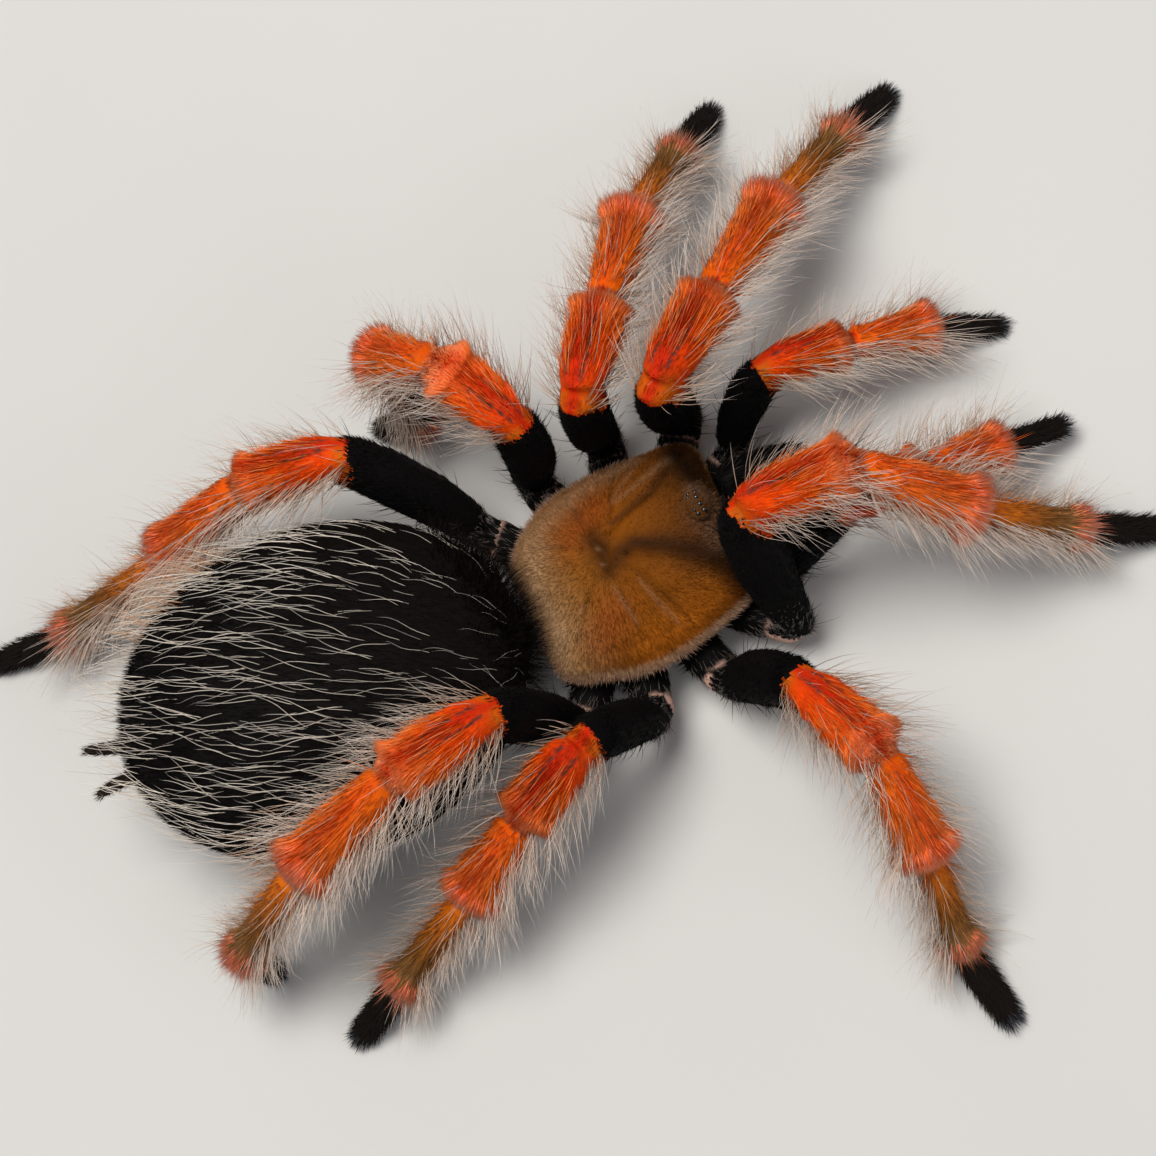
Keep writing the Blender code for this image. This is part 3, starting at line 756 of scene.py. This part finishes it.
def build_shield():
    mesh = cast_copies(["carapace"], COAT_DEPTH["shield"], SHIELD_VOXEL, SHIELD_SMOOTHING)
    points = points_of(mesh)
    normals = read(mesh.vertices, "normal", 3)
    places = on_shield(points)
    hollow = sum(depth * strokes(places, lines) for depth, lines in GROOVES)
    moved = points - normals * (hollow * fade(places[:, 2], 0.8, 2.0))[:, None] * MM
    moved = shape_rim(on_shield(moved)) @ np.array(SHIELD_TILT).T * MM + SHIELD_MIDDLE
    move(mesh, moved)
    set_marks(mesh, survey_shield(moved))
    return settle(add_piece("shield", mesh, SHIELD_SKIN), "copper_velvet", "carapace")


# ---- eyes, jaws, fangs and spinnerets

EYE_HILL_MIDDLE = (0.0, -7.7, 4.74)
EYE_HILL_HALVES = (1.28, 0.88, 0.95)
# The eyes of one side, as places (outwards, forwards and up from the hill's middle) and radii
EYES = [(0.34, 0.32, 0.72, 0.25), (0.88, 0.42, 0.44, 0.24), (0.60, -0.30, 0.68, 0.17),
        (0.95, -0.16, 0.50, 0.20)]


def shield_matrix(place, sizes=(1.0, 1.0, 1.0)):
    """Where something of these sizes stands on the shield."""
    turn = SHIELD_TILT.to_4x4()
    middle = Vector(SHIELD_MIDDLE) + (SHIELD_TILT @ Vector(place)) * MM
    return Matrix.Translation(middle) @ turn @ Matrix.Diagonal((*[size * MM for size in sizes], 1.0))


def survey_hill(points):
    places = on_shield(points) - EYE_HILL_MIDDLE
    place = np.clip(places[:, 2], 0.0, 1.0)
    lie = np.tile((0.0, -1.0, 0.0), (len(points), 1)) + 0.6 * places * (1, 1, 0)
    flat = np.stack([turns(places[:, 0], places[:, 1]) + 0.5, place], axis=1)
    return SimpleNamespace(place=place, lie=lie, unwrap=0.02 + 0.1 * flat, spot=places)


def off_eyes(found):
    """How far each place of the hill lies from the edge of the nearest eye."""
    folded = np.abs(found.spot) * (1, 0, 0) + found.spot * (0, 1, 1)
    return np.min([norms(folded - (lateral, -forward, height)) - radius
                   for lateral, forward, height, radius in EYES], axis=0)


def build_eyes():
    """The low hill at the front of the shield, and its eight eyes."""
    hill = bmesh.new()
    bmesh.ops.create_uvsphere(hill, u_segments=32, v_segments=20, radius=1.0,
                              matrix=shield_matrix(EYE_HILL_MIDDLE, EYE_HILL_HALVES))
    hill = add_piece("eye_hill", hill, SHIELD_HILL)
    set_marks(hill.data, survey_hill(points_of(hill.data)))
    settle(hill, "brown_skin", "eye_tubercle")
    eyes = bmesh.new()
    for lateral, forward, height, radius in EYES:
        for side in (-1, 1):
            place = (side * lateral, EYE_HILL_MIDDLE[1] - forward, EYE_HILL_MIDDLE[2] + height)
            bmesh.ops.create_uvsphere(eyes, u_segments=20, v_segments=12, radius=radius,
                                      matrix=shield_matrix(place))
    settle(add_piece("eyes", eyes, EYE_LENS), "dark_horn", "eye_tubercle")
    return hill


def long_way(node, towards):
    """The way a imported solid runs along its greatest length."""
    points = node_points(node)
    way = np.linalg.svd(points - points.mean(axis=0), full_matrices=False)[2][0]
    return way * np.sign(way @ np.array(towards))


def survey_pair(nodes, towards):
    """A survey of a pair of parts whose coat lies along them."""
    middles = np.array([box_middle(node) for node in nodes])
    ways = np.array([long_way(node, towards) for node in nodes])
    halves = np.array([np.abs((node_points(node) - middle) @ way).max()
                       for node, middle, way in zip(nodes, middles, ways)])

    def found(points):
        near = np.argmin([norms(points - middle) for middle in middles], axis=0)
        away = points - middles[near]
        along = np.clip((away * ways[near]).sum(axis=1) / halves[near] / 2 + 0.5, 0.0, 1.0)
        side = np.cross(ways[near], UP)
        around = turns((away * side).sum(axis=1), away[:, 2]) + 0.5
        flat = np.stack([0.02 + 0.46 * (near + around), 0.02 + 0.9 * along], axis=1)
        return SimpleNamespace(place=along, lie=ways[near], unwrap=flat)

    return found


# Each pair: its solids, the way they run, how deep its surface lies, its voxel and its smoothing
PAIRS = {
    "jaws": (("chelicera_left", "chelicera_right"), (0.0, -1.0, -0.5), COAT_DEPTH["jaw"], 0.28, 4),
    "fangs": (("fang_left", "fang_right"), (0.0, 0.0, -1.0), 0.02, 0.12, 3),
    "spinnerets": (("spinneret_left", "spinneret_right"), (0.0, 1.0, 0.0), 0.12, 0.14, 3),
}


def build_pair(name, material, slot):
    nodes, towards, depth, voxel, smoothing = PAIRS[name]
    found = survey_pair(nodes, towards)
    mesh = cast_copies(nodes, depth, voxel, smoothing)
    set_marks(mesh, found(points_of(mesh)))
    return Ground(settle(add_piece(name, mesh, material), slot, *nodes), found)


CLAW_STEPS = 6
CLAW_BEND = 11.0        # for each step
CLAW_STEP = 0.13
CLAW_TAPER = 0.82       # for each step
CLAW_RADIUS = 0.085
CLAW_SINK, CLAW_APART, CLAW_RISE = 0.55, 0.32, 0.3      # its root, back, out and up from the tip


def build_claws():
    """Two small hooked claws at the end of each foot."""
    shape = bmesh.new()
    for segment in SEGMENTS:
        if segment.kind != "tarsus":
            continue
        ahead = Vector(segment.axis)
        side = Vector(np.cross(segment.axis, UP)).normalized()
        bend = Matrix.Rotation(math.radians(-CLAW_BEND), 3, side)
        for way in (-1, 1):
            root = Vector(segment.end) - ahead * CLAW_SINK * MM + side * way * CLAW_APART * MM
            root = root + UP * CLAW_RISE * MM
            frame_of = Matrix((side, ahead.cross(side), ahead)).transposed().to_4x4()
            made = bmesh.ops.create_circle(shape, cap_ends=True, segments=8, radius=CLAW_RADIUS * MM,
                                           matrix=Matrix.Translation(root) @ frame_of)
            face = made["verts"][0].link_faces[0]
            heading = (ahead + UP * 0.35 + side * way * 0.2).normalized()
            for _ in range(CLAW_STEPS):
                face = drawn_out(shape, face)
                bmesh.ops.translate(shape, verts=face.verts, vec=heading * CLAW_STEP * MM)
                middle = face.calc_center_median()
                bmesh.ops.rotate(shape, verts=face.verts, cent=middle, matrix=bend)
                bmesh.ops.scale(shape, verts=face.verts, vec=(CLAW_TAPER,) * 3,
                                space=Matrix.Translation(-middle))
                heading = bend @ heading
    bmesh.ops.recalc_face_normals(shape, faces=shape.faces)
    return settle(add_piece("claws", shape, CLAW_HORN), "dark_horn")


# ---- hairs

def hair_template(rings, taper):
    """The points (two across, one up to 1) and triangles of a pointed three-sided hair."""
    shape = bmesh.new()
    bmesh.ops.create_circle(shape, cap_ends=True, segments=3, radius=1.0)
    face = next(iter(shape.faces))
    bmesh.ops.reverse_faces(shape, faces=[face])
    for ring in range(1, rings + 1):
        face = drawn_out(shape, face, keep=ring == 1)
        width = max(1.0 - (ring / rings) ** (1.0 + taper), 0.0)
        for vert in face.verts:
            flat = Vector((vert.co.x, vert.co.y, 0.0)).normalized()
            vert.co = flat * width + UP * ring / rings
    bmesh.ops.pointmerge(shape, verts=list(face.verts), merge_co=UP)
    bmesh.ops.recalc_face_normals(shape, faces=shape.faces)
    bmesh.ops.triangulate(shape, faces=shape.faces)
    shape.verts.index_update()
    points = np.array([vert.co for vert in shape.verts])
    triangles = np.array([[vert.index for vert in face.verts] for face in shape.faces])
    shape.free()
    return points, triangles


class Ground:
    """A surface that hairs grow from, with the survey of its places."""

    def __init__(self, piece, survey_of):
        mesh = piece.data
        mesh.calc_loop_triangles()
        self.corners = read(mesh.loop_triangles, "vertices", 3, np.int32)
        self.points = points_of(mesh)
        self.normals = read(mesh.vertices, "normal", 3)
        a, b, c = (self.points[self.corners[:, i]] for i in range(3))
        self.areas = norms(np.cross(b - a, c - a)) / 2 / MM ** 2
        self.survey_of = survey_of
        self.found = survey_of((a + b + c) / 3)

    def scatter(self, density):
        """Root points, at so many for each square millimetre, and their normals."""
        wanted = self.areas * density
        count = int(round(wanted.sum()))
        chosen = RNG.choice(len(wanted), count, p=wanted / wanted.sum())
        u, v = RNG.random((2, count))
        flip = u + v > 1
        u[flip], v[flip] = 1 - u[flip], 1 - v[flip]
        weights = np.stack([1 - u - v, u, v], axis=1)[:, :, None]
        roots = (self.points[self.corners[chosen]] * weights).sum(axis=1)
        normals = (self.normals[self.corners[chosen]] * weights).sum(axis=1)
        return roots, normals / norms(normals)[:, None]


def pick(value, found, count):
    """A value for each hair, from a number, a range, or a rule that reads the survey."""
    if callable(value):
        value = value(found)
    if isinstance(value, tuple):
        low, high = value
        return low + (high - low) * RNG.random(count)
    return np.broadcast_to(np.asarray(value, float), count)


def comb(normals, lie, scatter):
    """The way each hair leans, along the lie of the coat in the skin's plane, and how far it stands
    up where the lie runs out of the skin."""
    lie = lie + RNG.normal(0.0, scatter, lie.shape)
    rise = (lie * normals).sum(axis=1)
    flat = lie - rise[:, None] * normals
    length = norms(flat)
    return flat / np.maximum(length, 1e-6)[:, None], np.arctan2(np.maximum(rise, 0.0), length)


HAIR_SINK = 0.06        # how deep a root stands in the skin
FLOOR_CLEARANCE = 0.03
HAIR_CEILING = cad_bounds[1][2] + 0.6 * MM
STRAIGHT = 0.01         # the least bend, in radians, so that a straight hair has a radius too
PATCH = 0.003           # the size of a hair's patch on the unwrap


def keep_inside(points, roots):
    """Shortens the hairs that would reach into the floor or far above the back."""
    start = roots[:, 2]
    low, high = points[..., 2].min(axis=1), points[..., 2].max(axis=1)
    over_floor = (start - FLOOR_CLEARANCE * MM) / np.maximum(start - low, 1e-9)
    under_top = (HAIR_CEILING - start) / np.maximum(high - start, 1e-9)
    share = np.clip(np.minimum(over_floor, under_top), 0.05, 1.0)
    return roots[:, None] + (points - roots[:, None]) * share[:, None, None]


def grow(ground, name, per_mm2, shape, material, slot, length, width, lift, bend,
         scatter=0.15, sway=0.0, wave=0.0):
    """One piece of coat. Lift is the angle off the skin at the root, and bend how much further down
    the tip points; sway bends a hair sideways, and wave gives it soft curves."""
    density = per_mm2(ground.found) if callable(per_mm2) else np.full(len(ground.areas), float(per_mm2))
    roots, normals = ground.scatter(density)
    found = ground.survey_of(roots)
    outline, triangles = hair_template(*shape)
    count, corners = len(roots), len(outline)
    lean, stand = comb(normals, found.lie, scatter)
    side = np.cross(normals, lean)
    long = pick(length, found, count)[:, None] * MM
    thick = pick(width, found, count)[:, None] * MM / 2
    start = (np.radians(pick(lift, found, count)) + stand)[:, None]
    turned = np.radians(pick(bend, found, count))[:, None]
    turned = np.where(np.abs(turned) < STRAIGHT, STRAIGHT, turned)
    up = outline[None, :, 2]
    angle = start - turned * up
    forward = (np.sin(start) - np.sin(angle)) / turned * long
    height = (np.cos(angle) - np.cos(start)) / turned * long - HAIR_SINK * MM
    sideways = RNG.normal(0.0, 1.0, count)[:, None] * sway * up ** 2 * long
    if wave:
        phase = RNG.random((count, 1)) * 2 * math.pi
        rate = 0.7 + 0.7 * RNG.random((count, 1))
        sideways = sideways + (np.sin(2 * math.pi * up * rate + phase) - np.sin(phase)) * wave * long * up
    across = outline[None, :, 0] * thick
    over = outline[None, :, 1] * thick
    forward = forward - over * np.sin(angle)
    height = height + over * np.cos(angle)
    points = (roots[:, None] + forward[..., None] * lean[:, None] + height[..., None] * normals[:, None]
              + (sideways + across)[..., None] * side[:, None])
    points = keep_inside(points, roots)
    faces = (triangles[None] + (np.arange(count) * corners)[:, None, None]).reshape(-1)
    mesh = bpy.data.meshes.new(name)
    mesh.vertices.add(count * corners)
    mesh.vertices.foreach_set("co", points.astype(np.float32).ravel())
    mesh.loops.add(len(faces))
    mesh.loops.foreach_set("vertex_index", faces.astype(np.int32))
    mesh.polygons.add(len(faces) // 3)
    mesh.polygons.foreach_set("loop_start", np.arange(0, len(faces), 3, dtype=np.int32))
    mesh.update(calc_edges=True)
    patch = found.unwrap[:, None] + (outline[:, [2, 0]] * (1, 0.4))[None] * PATCH
    unwrapped = mesh.uv_layers.new(name="OFBake")
    unwrapped.data.foreach_set("uv", patch.reshape(-1, 2)[faces].astype(np.float32).ravel())
    set_value(mesh, "strand", np.tile(outline[:, 2], count))
    set_value(mesh, "tone", np.repeat(RNG.random(count), corners))
    set_marks(mesh, found, corners)
    return settle(add_piece(name, mesh, material), slot)


# ---- finishes of this spider

BLACK = [(0, "#060505"), (1, "#080606")]
FIRE = [(0, "#d2620c"), (0.03, "#e45004"), (0.14, "#f04800"), (0.6, "#fb5c00"), (0.84, "#fd7424"),
        (0.93, "#fd7838"), (1, "#fe7e44")]
# The darker first stop, at the start of each tibia, is painted shadow cast by the rim of the patella
SALMON = [(0, "#a84c04"), (0.12, "#e86400"), (0.6, "#fd7e1c"), (0.84, "#fe8440"), (0.94, "#fe8c5c"),
          (1, "#fe9468")]
TAN = [(0, "#e06804"), (0.25, "#cc7014"), (0.6, "#905c24"), (0.86, "#a47a48"), (0.94, "#f89074"),
       (1, "#ffa88c")]
COPPER = [(0, "#4a2c12"), (0.25, "#703c06"), (0.5, "#824602"), (0.68, "#8a5216"), (0.84, "#a07648"),
          (1, "#b69674")]
# The underside colour of each segment is also laid as painted shade in the crease at its joint
FIRE_MARKS = {"ridge": "#cc2600", "under": "#4a1c0a", "parting": "#3a322e"}
SALMON_MARKS = {"ridge": "#e45400", "under": "#4a2412"}
TAN_MARKS = {"under": "#34221a"}
# Its dark is partly the fovea's patch, partly painted shade in the grooves and painted shadow at the front
COPPER_MARKS = {"blush": "#96401a", "bright": "#a45a10", "rim": "#b08c6c", "dark": "#160a03",
                "pale": "#c0a080", "fuzz": "#7c6454"}


SKIN_FINISH = {
    "femur": cuticle("black cuticle of the femora", BLACK),
    "patella": cuticle("red-orange cuticle of the patellae", FIRE, FIRE_MARKS),
    "tibia": cuticle("orange cuticle of the tibiae", SALMON, SALMON_MARKS),
    "metatarsus": cuticle("tan cuticle of the metatarsi", TAN, TAN_MARKS),
    "tarsus": cuticle("dark brown cuticle of the tarsi", ("#16110e", "#16110e")),
    "coxa": cuticle("black cuticle of the hips", BLACK, {"seam": "#c8a090"}),
    "underside": cuticle("black cuticle of the underside", BLACK),
    "abdomen": cuticle("soft black skin of the abdomen", ("#0d0807", "#080606")),
}
SHIELD_SKIN = cuticle("copper cuticle of the head shield", COPPER, COPPER_MARKS)
SHIELD_HILL = cuticle("brown cuticle of the eye hill", ("#6e4012", "#4a2c12"))
JAW_SKIN = cuticle("black cuticle of the jaws", BLACK)
SPINNERET_SKIN = cuticle("brown cuticle of the spinnerets", ("#1a120d", "#241912"))
EYE_LENS = horn("clear black lens of an eye", "#060505", 0.06, coat=1.0)
FANG_HORN = horn("black horn of a fang", "#100a09", 0.22, coat=0.4)
CLAW_HORN = horn("dark horn of a claw", "#1a100c", 0.3)
# Velvet: matt short setae, close in colour to the skin below them
BLACK_SETAE = setae("black velvet setae", BLACK, "#0b0908", spread=0.5, roughness=0.8, gloss=0.12)
TARSUS_SETAE = setae("dark brown velvet of the feet", ("#1c1612", "#221a16"), "#43372f", 0.6,
                     roughness=0.8, gloss=0.12)
ABDOMEN_SETAE = setae("brown-black velvet setae", ("#0b0603", "#070404"), "#0e0906", spread=0.5,
                      roughness=0.8, gloss=0.1)
COPPER_SETAE = setae("copper velvet setae", COPPER, "#ac7024", 0.2, roughness=0.7, gloss=0.06,
                     marks=COPPER_MARKS)
# Combed coats: coloured setae with a soft sheen and lighter tips
FIRE_SETAE = setae("fire orange setae", FIRE, "#ff8420", 0.3, 0.22, gloss=0.2, marks=FIRE_MARKS)
SALMON_SETAE = setae("salmon orange setae", SALMON, "#ffa468", 0.35, 0.22, gloss=0.2, marks=SALMON_MARKS)
TAN_SETAE = setae("tan setae", TAN, "#cfa068", 0.35, gloss=0.2, marks=TAN_MARKS)
CUFF_SETAE = setae("salmon setae of the cuffs", ("#f87c50", "#fb8a68"), "#ffb8a0", gloss=0.2)
PEACH_SETAE = setae("peach guard setae", ("#e07830", "#e48848"), "#ffc89c", 0.7, gloss=0.3)
# Long setae: they gleam, and are pale and nearly clear at their tips
CREAM_SETAE = setae("cream guard setae", ("#b49a86", "#ccb6a6"), "#f4ece4", 0.8)
IVORY_SETAE = setae("ivory guard setae", ("#d6cabc", "#dcd0c2"), "#fdf9f2", 0.7)
FLANK_SETAE = setae("pale peach setae of the flanks", ("#b88a68", "#c09474"), "#f2dcc6", 0.8)
GREY_SETAE = setae("grey setae of the joints", ("#4e4845", "#6a625c"), "#b4aca4", 0.7)
PINK_SETAE = setae("pinkish cream setae of the rims", ("#9c7260", "#b08472"), "#e6cdb8", 0.7)
BLUE_SETAE = setae("blue-grey setae of the feet", ("#23252c", "#2c3038"), "#6d7682", 0.7)
BROWN_SETAE = setae("dark brown setae", ("#20150f", "#2a1b13"), "#5a4232")
WAIST_SETAE = setae("brown-grey setae of the waist", ("#0c0806", "#0c0806"), "#1e1712", gloss=0.1)
FUZZ_SETAE = setae("greyish pink setae round the eyes", ("#6a421c", "#6e4824"), "#98785c", 0.8,
                   gloss=0.1)


# ---- where the coat grows, and how long it is

SHORT, LONG = (1, 0.0), (4, 0.6)        # the rings and the taper of a hair
CUFF = (0.76, 0.88)         # the share of a segment's length where its cuff begins
CUFF_OVERHANG = 0.45        # by which the coat of a segment laps over the next
FEMUR_OVERHANG = -0.2       # the coat of a femur stops short, where that of the patella begins
LEAST_LEFT = 0.6            # the length of a hair at the very rim
LENGTHS = of_segments("length") / MM
SIDE_TURN, SIDE_WIDTH = 0.26, 0.085     # the side of a limb, in turns from its back


def on(per_mm2, *kinds, where=None, begins=None):
    """A rule for so many hairs for each square millimetre of some parts, where another rule says
    and from a share of their length on."""
    def density(found):
        wanted = of_kind(found, *kinds) * per_mm2
        if where:
            wanted = wanted * where(found)
        return wanted * fade(found.place, *begins) if begins else wanted
    return density


def velvet(found):
    """Thin in the partings and on the bare rims."""
    return (1.0 - 0.9 * found.parting) * (1.0 - 0.95 * found.seam)


def above(found):
    return 1.0 - found.under


def sides(found):
    return np.exp(-((np.abs(found.turn) - SIDE_TURN) / SIDE_WIDTH) ** 2)


def bells(found):
    return (on(9, "tibia", where=above)(found) + on(5, "patella", where=above)(found)) * fade(
        found.place, 0.1, 0.6)


def fringes(found):
    return on(9.5, "tibia", where=sides)(found) + on(6.5, "patella", where=sides)(found)


def hip_ends(found):
    """The end of each hip, short of its bare rim, and the start of each femur."""
    hip = 0.25 * of_kind(found, "coxa") * fade(found.place, 0.5, 0.6) * (1.0 - found.seam)
    return 13 * (hip + of_kind(found, "femur") * fade(found.place, 0.12, 0.05))


def rear(found):
    return fade(found.place, 0.04, 0.42) * 0.7 + 0.3


def flanks(found):
    """The two sides of the abdomen, behind its middle and above its belly."""
    aside = fade(np.abs(found.spot[:, 0]), 0.6, 0.9)
    return aside * fade(found.place, 0.45, 0.8) * fade(found.spot[:, 2], -0.6, -0.2)


def shield_edge(found):
    """The rim of the shield, but not its front, where the jaws begin, nor below it."""
    return 16 * found.rim * fade(found.spot[:, 1], -9.0, -7.0) * fade(found.spot[:, 2], -1.5, 0.0)


def hill_fuzz(found):
    """The eye hill above the shield, clear of the eyes."""
    return 90 * fade(found.spot[:, 2], -0.7, -0.4) * fade(off_eyes(found), 0.0, 0.12)


def at_random(found, low, span):
    return low + span * RNG.random(len(found.place))


def to_cuff(length, overhang=CUFF_OVERHANG):
    """A rule for hairs of some lengths that all end by the same straight rim."""
    def cut(found):
        left = np.maximum((1.0 - found.place) * LENGTHS[found.segment] + overhang, LEAST_LEFT)
        return np.minimum(pick(length, found, len(left)), left * at_random(found, 0.94, 0.12))
    return cut


def swell(low, high):
    """A rule for a coat that is short over the knee and full from the middle on."""
    return lambda found: low + (high - low) * fade(found.place, 0.0, 0.5) * at_random(found, 0.5, 0.5)


def rise(found):
    return at_random(found, 8.0, 9.0) + 6.0 * fade(found.place, 0.4, 0.9)


def over_knee(found):
    return 6.0 + 9.0 * fade(found.place, 0.16, 0.02)


# ---- the whole animal

build_studio(*build_camera())
skin = Ground(build_skin(), survey)
shield = Ground(build_shield(), survey_shield)
hill = Ground(build_eyes(), survey_hill)
jaws = build_pair("jaws", JAW_SKIN, "black_velvet")
build_claws()
build_pair("fangs", FANG_HORN, "dark_horn")
spinnerets = build_pair("spinnerets", SPINNERET_SKIN, "brown_skin")

# How the hairs of some pieces lie: their width, lift, bend, scatter and sway
COMBED = ((0.07, 0.12), rise, over_knee, 0.09)
FLAT = ((0.07, 0.11), 14, 6, 0.12)
AT_RIM = ((0.07, 0.11), (14, 26), 4, 0.07)
FRINGED = ((0.055, 0.085), (32, 64), (6, 48), 0.12, 0.07)

# Each piece of coat: its ground, name, hairs for each square millimetre, rings and taper, setae and
# slot; then its length, width, lift, bend, scatter, sway and wave
COAT = [
    (skin, "coat_patellae", on(30, "patella", where=velvet), SHORT, FIRE_SETAE, "fire_orange_hair",
     to_cuff(swell(0.8, 1.9)), *COMBED),
    (skin, "coat_tibiae", on(24, "tibia"), SHORT, SALMON_SETAE, "salmon_hair",
     to_cuff(swell(0.7, 2.2)), *COMBED),
    (skin, "coat_metatarsi", on(22, "metatarsus"), SHORT, TAN_SETAE, "pale_orange_hair",
     to_cuff(swell(0.7, 1.9)), *COMBED),
    (skin, "coat_femora", on(15, "femur"), SHORT, BLACK_SETAE, "black_velvet",
     to_cuff((0.7, 1.1), FEMUR_OVERHANG), *FLAT),
    (skin, "cuffs_of_femora", on(34, "femur", begins=(0.8, 0.88)), SHORT, BLACK_SETAE, "black_velvet",
     to_cuff((0.9, 1.1), FEMUR_OVERHANG), *FLAT),
    (skin, "coat_tarsi", on(28, "tarsus"), SHORT, TARSUS_SETAE, "black_velvet",
     (0.8, 1.5), (0.06, 0.1), (20, 38), 10, 0.14),
    (skin, "coat_hips", on(12, "coxa", "underside", where=velvet), SHORT, BLACK_SETAE, "black_velvet",
     lambda f: 0.4 + at_random(f, 0.4, 0.5) * fade(f.place, 0.82, 0.6), *FLAT),
    (skin, "bell_hairs", bells, (2, 0.4), SALMON_SETAE, "salmon_hair",
     to_cuff((1.9, 3.0)), (0.06, 0.1), (14, 28), (4, 16), 0.07),
    (skin, "combed_hairs", on(1.2, "patella", "tibia", where=above, begins=(0.0, 0.15)), (3, 0.6),
     PEACH_SETAE, "fire_orange_hair", to_cuff((2.0, 3.6)), (0.05, 0.08), (12, 24), (6, 22), 0.08, 0.05),
    (skin, "brushes", on(5, "metatarsus", where=above, begins=(0.0, 0.2)), (2, 0.5), TAN_SETAE,
     "pale_orange_hair", (1.6, 2.8), (0.045, 0.07), (24, 46), (4, 24), 0.1, 0.05),
    (skin, "side_fringes", fringes, LONG, CREAM_SETAE, "salmon_hair",
     (3.6, 6.6), *FRINGED),
    (skin, "metatarsus_brushes", on(14, "metatarsus", where=sides), LONG, CREAM_SETAE, "pale_orange_hair",
     (3.4, 5.8), *FRINGED),
    (skin, "halo_hairs", on(0.18, *BELLS, where=above), LONG, CREAM_SETAE, "salmon_hair",
     (3.0, 5.0), (0.045, 0.07), (30, 60), (10, 50), 0.15, 0.08),
    (skin, "lower_hairs", on(1, *BELLS, where=lambda f: f.under), LONG, BROWN_SETAE, "black_velvet",
     (2.0, 4.0), (0.06, 0.09), (30, 50), (0, 30)),
    (skin, "cuffs_of_patellae", on(28, "patella", begins=CUFF), SHORT, SALMON_SETAE, "salmon_hair",
     to_cuff((2.2, 2.4)), *AT_RIM),
    (skin, "cuffs", on(28, "tibia", "metatarsus", begins=CUFF), SHORT, CUFF_SETAE, "salmon_hair",
     to_cuff((2.2, 2.4)), *AT_RIM),
    (skin, "femur_hairs", on(1, "femur", where=lambda f: 0.3 + 0.7 * f.under), LONG, BLACK_SETAE,
     "black_velvet", (1.8, 3.2), (0.05, 0.08), (20, 50), (0, 30)),
    (skin, "femur_fringes", on(5, "femur", where=sides, begins=(0.3, 0.2)), (3, 0.6), GREY_SETAE,
     "black_velvet", (1.0, 2.0), (0.035, 0.055), (28, 58), (0, 40), 0.15, 0.06),
    (skin, "joint_fringes", hip_ends, (2, 0.5), GREY_SETAE, "black_velvet",
     (0.8, 1.5), (0.04, 0.07), (12, 30), 10),
    (skin, "foot_tufts", on(34, "tarsus", begins=(0.8, 0.92)), (3, 0.5), BLUE_SETAE, "black_velvet",
     (0.7, 1.3), (0.05, 0.08), (20, 48), 20),
    (skin, "coat_abdomen", on(12, "abdomen"), SHORT, ABDOMEN_SETAE, "abdomen_coat",
     (0.7, 1.2), 0.11, 15, 6, 0.14),
    (skin, "guard_hairs_abdomen", on(0.6, "abdomen", where=rear), (8, 0.8), IVORY_SETAE, "abdomen_coat",
     lambda f: at_random(f, 4.5, 3.5) * (0.4 + 0.6 * rear(f)),
     lambda f: at_random(f, 0.052, 0.04) * (0.5 + 0.5 * rear(f)), (8, 18), (20, 40), 0.15, 0.05, 0.055),
    (skin, "fringe_abdomen", on(2.4, "abdomen", where=flanks), (6, 0.7), FLANK_SETAE, "abdomen_coat",
     (3.5, 6.0), (0.06, 0.09), (20, 42), (10, 40), 0.15, 0.08, 0.03),
    (skin, "waist_hairs", on(13, "abdomen", begins=(0.14, 0.04)), (3, 0.5), WAIST_SETAE, "abdomen_coat",
     (1.8, 3.2), (0.05, 0.08), (40, 80), (-40, 10), 0.3),
    (shield, "coat_shield", 63, SHORT, COPPER_SETAE, "copper_velvet",
     (0.32, 0.55), (0.045, 0.07), (9, 18), 4, 0.14),
    (shield, "fringe_shield", shield_edge, (2, 0.4), PINK_SETAE, "copper_velvet",
     (0.45, 0.9), (0.04, 0.06), (4, 20), 8, 0.12),
    (shield, "fuzz_front", lambda f: 70 * f.fuzz, (2, 0.4), FUZZ_SETAE, "copper_velvet",
     (0.5, 0.9), (0.04, 0.06), (20, 50), 10, 0.25),
    (hill, "fuzz_eye_hill", hill_fuzz, (2, 0.4), FUZZ_SETAE, "brown_skin", (0.22, 0.45), 0.045, (14, 34), 20),
    (jaws, "coat_jaws", 26, SHORT, BLACK_SETAE, "black_velvet", (0.6, 1.1), (0.06, 0.1), (12, 24), 6),
    (jaws, "long_hairs_jaws", 1.6, LONG, BROWN_SETAE, "black_velvet",
     (1.4, 2.6), (0.05, 0.08), (20, 45), (0, 30)),
    (spinnerets, "coat_spinnerets", 30, SHORT, BROWN_SETAE, "brown_skin", (0.5, 0.9), 0.06, (14, 30), 6),
]
for row in COAT:
    grow(*row)
